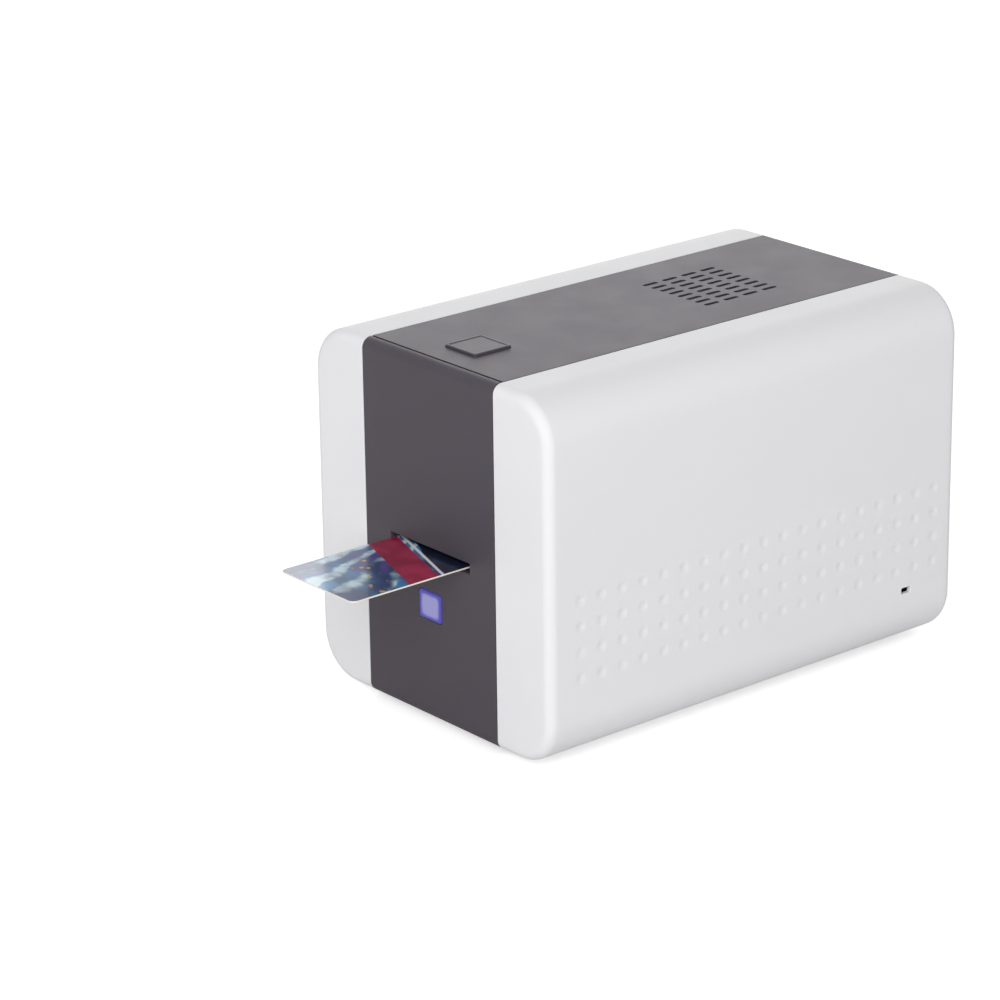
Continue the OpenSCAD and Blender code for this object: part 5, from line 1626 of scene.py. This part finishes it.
@dataclass
class Screws:
    """Pan head screws with a cross recess, standing in blind holes.

    Attributes:
        name: the piece's name.
        body: the body they ride on.
        node: the node they stand for.
        places: for each screw, the point where its head meets the sheet.
        way: unit direction from the thread to the head.
        length: length of the thread.
        head_r, head_h, dome: radius and height of the head, and how far its edge falls.
        cross: half width of the recess at its top, half length at its floor, and depth.
        slant: how far the recess's sides and ends slope.
        thread_r, thread_depth, pitch: radius, depth and pitch of the thread.
        run: length over which the thread starts and ends.
    """

    name: str
    body: str
    node: str
    places: Array
    way: Array
    length: float
    head_r: float = 2.8
    head_h: float = 1.6
    dome: float = 0.45
    cross: Spot = (0.42, 1.65, 0.85)
    slant: Pair = (0.16, 0.5)
    thread_r: float = 1.45
    thread_depth: float = 0.14
    pitch: float = 0.5
    run: float = 0.6

    def head(self) -> Array:
        """The head over a polar grid: a low dome, less a cross-shaped recess that narrows as it deepens.

        Returns:
            Points across the head as (along, u, v), shape (rings, steps, 3).
        """
        share = np.concatenate([np.linspace(0.0, 0.62, 16), np.linspace(0.7, 1.0, 7)])[:, None]
        a = circle(64)[None, :]
        u, v = share * self.head_r * np.cos(a), share * self.head_r * np.sin(a)
        width, length, depth = self.cross
        narrow, wide = np.minimum(np.abs(u), np.abs(v)), np.maximum(np.abs(u), np.abs(v))
        recess = np.clip((width - narrow) / self.slant[0], 0, 1) * np.clip((length - wide) / self.slant[1], 0, 1)
        return np.stack([self.head_h - self.dome * share ** 3 - depth * recess, u, v], -1)

    def thread(self) -> Array:
        """The thread: its radius less a cosine of the angle less the turns run, fading at both ends.

        Returns:
            Points along the thread as (along, u, v), shape (rings, steps, 3).
        """
        t = np.linspace(0, self.length, int(self.length * 2 / self.pitch))[:, None]
        a = circle(24)[None, :]
        wave = 0.5 + 0.5 * np.cos(a - 2 * np.pi * t / self.pitch)
        groove = self.thread_depth * wave * np.clip(t / self.run, 0, 1)
        r = (self.thread_r - groove) * np.clip((self.length - t) / self.run, 0.0, 1) ** 0.5 * (t > 0)
        return np.stack([-t + 0 * a, r * np.cos(a), r * np.sin(a)], -1)

    def build(self) -> bpy.types.Object:
        """Builds the screws as one piece, each from its head, the head's skirt and the thread.

        Returns:
            The object.
        """
        side = np.array([0.0, 1.0, 0.0])
        face, patches = self.head(), []
        skirt = np.stack([face[-1], face[-1] * (0, 1, 1), face[-1] * 0.0])
        for place, way in zip(self.places, self.way):
            turn = np.stack([way, side, np.cross(way, side)])
            for rows in (face, skirt, self.thread()):
                patches.append(grid(rows @ turn + place, (False, True)).facing(place + 0.2 * way))
        return Piece(self.name, self.body, self.node, ["screw_steel"]).from_patches(patches)


# ---------------------------------------------------------------- stage


@dataclass(frozen=True)
class Lamp:
    """Soft rectangular light.

    Attributes:
        name: its name.
        place: where it hangs, in metres.
        aim: the point it looks at, in metres.
        size: its width and height, in metres.
        power: its power in watts.
    """

    name: str
    place: Spot
    aim: Spot
    size: Pair
    power: float

    def hang(self) -> None:
        """Puts the light in the scene, turned towards the point it looks at."""
        data = bpy.data.lights.new(self.name, "AREA")
        data.shape, data.energy = "RECTANGLE", self.power
        data.size, data.size_y = self.size
        lamp = placed(self.name, data)
        lamp.location = self.place
        lamp.rotation_euler = (Vector(self.aim) - Vector(self.place)).to_track_quat("-Z", "Y").to_euler()


@dataclass
class Studio:
    """Floor, lights and camera.

    Attributes:
        azimuth, elevation, roll: the camera's angles, in degrees.
        distance: from the body's middle, in millimetres.
        shift: how far the view's centre lies from the body's middle, right and up.
        focal: focal length in sensor widths.
        sensor: sensor width, in millimetres.
        middle: height of the body's middle.
        level: strength of the surround as a light.
        lamps: the lights.
        reach: half of the floor's side, in metres.
        drop: how far the floor lies under the feet, in metres.
    """

    azimuth: float = 50.41
    elevation: float = 19.83
    roll: float = -0.81
    distance: float = 1846.83
    shift: Pair = (-67.12, -9.42)
    focal: float = 3.83155
    sensor: float = 36.0
    middle: float = 91.5
    level: float = 0.45
    lamps: Sequence[Lamp] = (Lamp("key_light", (1.45, -1.75, 1.15), (0, 0, 0.09), (2.4, 2.0), 45.0),
                             Lamp("rear_light", (-1.55, 1.28, 0.85), (0, 0, 0.17), (1.5, 1.5), 10.5))
    reach: float = 3.0
    drop: float = 0.0002

    def camera(self) -> None:
        """Sets the camera at its angle, with its axes turned by the roll."""
        a, e, r = (math.radians(v) for v in (self.azimuth, self.elevation, self.roll))
        back = Vector((math.sin(a) * math.cos(e), -math.cos(a) * math.cos(e), math.sin(e)))
        level = Vector((0, 0, 1)).cross(back).normalized()
        upright = back.cross(level)
        right = math.cos(r) * level + math.sin(r) * upright
        up = -math.sin(r) * level + math.cos(r) * upright
        place = Vector((0, 0, self.middle)) + right * self.shift[0] + up * self.shift[1] + back * self.distance
        data = bpy.data.cameras.new("studio_camera")
        data.sensor_width, data.lens = self.sensor, self.sensor * self.focal
        data.clip_start, data.clip_end = 0.05, 50.0
        camera = placed("studio_camera", data)
        camera.matrix_world = Matrix.Translation(place * MM) @ Matrix((right, up, back)).transposed().to_4x4()
        bpy.context.scene.camera = camera

    def surround(self) -> None:
        """Lays a plain pale surround: white for the camera and in gloss, softer as a light."""
        world = bpy.data.worlds.new("studio_surround")
        bpy.context.scene.world = world
        sheet = Sheet(world)
        sheet.set(Color="ffffff", Strength=sheet.shown().ramp(0.0, 1.0, self.level, 1.0))

    def floor(self) -> None:
        """Lays the paper: a flat sheet far wider than the printer, just under its feet."""
        span = np.linspace(-self.reach, self.reach, 25)
        x, y = np.meshgrid(span, span, indexing="ij")
        sheet = grid(np.stack([x, y, 0 * x - self.drop], -1))
        mesh = bpy.data.meshes.new("studio_floor")
        mesh.from_pydata(sheet.points.tolist(), [], sheet.corners.tolist())
        mesh.polygons.foreach_set("use_smooth", np.ones(len(mesh.polygons), bool))
        mesh.materials.append(Backdrop().material())
        placed("studio_floor", mesh)

    def build(self) -> None:
        """Builds the whole stage."""
        bpy.context.scene.view_settings.view_transform = "Standard"
        self.camera()
        self.surround()
        for lamp in self.lamps:
            lamp.hang()
        self.floor()


# ---------------------------------------------------------------- pieces made from their nodes


@dataclass(frozen=True)
class Dress:
    """How a piece made from its node is dressed.

    Attributes:
        ease: size of its eased edges.
        zones: places with a round or a finish of their own.
        extra: finishes past the one of its slot.
    """

    ease: float = 0.25
    zones: Sequence[Zone] = ()
    extra: Sequence[str] = ()


SEAM_X, TOP_Z = 47.0, 180.0


def seam_edges(start: float, end: float) -> Zone:
    """The side edges of a shell beside the panels' seam, between two places along the body."""
    return Zone((SEAM_X - 0.1, start, 0), (SEAM_X + 0.1, end, 190), 0.3)


def cross_edges(y: float, low: float, high: float, radius: float, half: float = SEAM_X + 0.1) -> Zone:
    """The edges that run across the body at a place along it, between two heights."""
    return Zone((0, y - 0.1, low), (half, y + 0.1, high), radius)


DRESSES = {
    "front_cover": Dress(0.2, (cross_edges(-130.0, 0, 190, 0.45, 46.0), seam_edges(-140, 0),
                               cross_edges(-124.6, TOP_Z - 0.1, TOP_Z + 0.1, 0.3))),
    "lid_shell": Dress(0.2, (Zone((0, -130, TOP_Z - 0.1), (46.0, 140, TOP_Z + 0.1), 0.55), seam_edges(-130, 140),
                             cross_edges(-123.4, TOP_Z - 0.1, TOP_Z + 0.1, 1.9))),
    "rear_cover": Dress(0.2, (cross_edges(130.0, 0, 190, 0.35, 46.0), seam_edges(100, 140))),
    "base_tray": Dress(0.2, (seam_edges(-140, 140), Zone((0, -140, 2.9), (SEAM_X + 0.1, 140, 3.1), 0.3))),
    "usb_socket": Dress(0.3, (Zone((19.3, 118.9, 19.4), (24.7, 129.1, 22.8), finish=1),), ("gear_plastic",)),
    "power_jack": Dress(0.25, (Zone((0.9, 120.9, 20.5), (3.1, 129.1, 22.7), finish=1),), ("shaft_steel",)),
    "board_parts": Dress(0.25, (Zone((0, 20, 15.5), (34, 27, 22), finish=1), Zone((11, 65, 26.5), (33, 75, 26.7),
                                finish=2)), ("gear_plastic", "sink_aluminium")),
    **{node: Dress(ease) for ease, nodes in (
        (0.3, ("slot_throat",)), (0.2, ("heat_sink",)), (0.15, ("lock_plate",)),
        (0.12, ("platen_gear", "idler_gear", "take_up_drive", "ribbon_idler_gear")),
        (0.08, ("motor_pinion", "ribbon_pinion"))) for node in nodes}}


def screws() -> list[Screws]:
    """The screws of the side frames, which stand in the panels' bosses, and those of the head bracket.

    Returns:
        The two sets.
    """
    frame_x, bracket_z = 41.0, 163.0
    sides = np.array([(side * frame_x, y, z) for side in (-1, 1) for y, z in BOSSES])
    inward = np.column_stack([-np.sign(sides[:, 0]), np.zeros((len(sides), 2))])
    bracket = np.array([(x, y, bracket_z) for x in (-20.0, 20.0) for y in (-40.0, -20.0)])
    downward = np.tile((0.0, 0.0, -1.0), (len(bracket), 1))
    return [Screws("side_frame_screws", "chassis", "frame_screws", sides, inward, 12.0),
            Screws("bracket_screws", "lid", "head_screws", bracket, downward, 9.0)]


def main() -> None:
    """Builds the printer's pieces in order and reports each one."""
    logging.basicConfig(level=logging.INFO, format="%(name)s: %(message)s")
    Studio().build()
    log.info("studio ready")
    made = [SidePanel(side).build() for side in Side]
    made += [Card().build(), *(button.build() for button in BUTTONS), Feet().build()]
    for name, body, y in (("platen", "platen", -30.0), ("eject", "eject_roller", -114.0),
                          ("cleaning_drive", "cleaning_drive_roller", -78.0), ("rear_feed", "rear_feed_roller", 15.0)):
        made += FeedRoller(name, body, y).build()
    made += [PinchRoller("eject_pinch_roller", "eject_pinch", -114.0, 91.68, 4.0, "sleeve_rubber").build(),
             PinchRoller("cleaning_roller", "cleaning_roller", -78.0, 92.18, 4.5, "cleaning_sleeve").build(),
             PinchRoller("rear_pinch_roller", "rear_pinch", 15.0, 91.68, 4.0, "sleeve_rubber").build(),
             Spool("take_up_roll", "take_up", -92.0, 15.0, "used_roll").build(),
             Spool("supply_roll", "supply", 28.0, 17.0, "fresh_roll", stub=True).build(),
             RibbonSheet().build(), HeadSprings().build()]
    made += [group.build() for group in screws()]
    slots = {part["node"]: part["material_slot"] for part in frame["record"]["subparts"]}
    shown = {node for thing in bpy.data.objects for node in thing.get("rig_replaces", [])}
    for node, thing in frame["nodes"].items():
        if node not in shown:
            dress = DRESSES.get(node, Dress())
            piece = Piece(f"{node}_fine", thing["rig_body"], node, [slots[node], *dress.extra])
            made.append(piece.from_node(dress.ease, dress.zones))
    for piece in made:
        log.info("%s: %d faces", piece.name, len(piece.data.polygons))


if __name__ == "__main__":
    main()
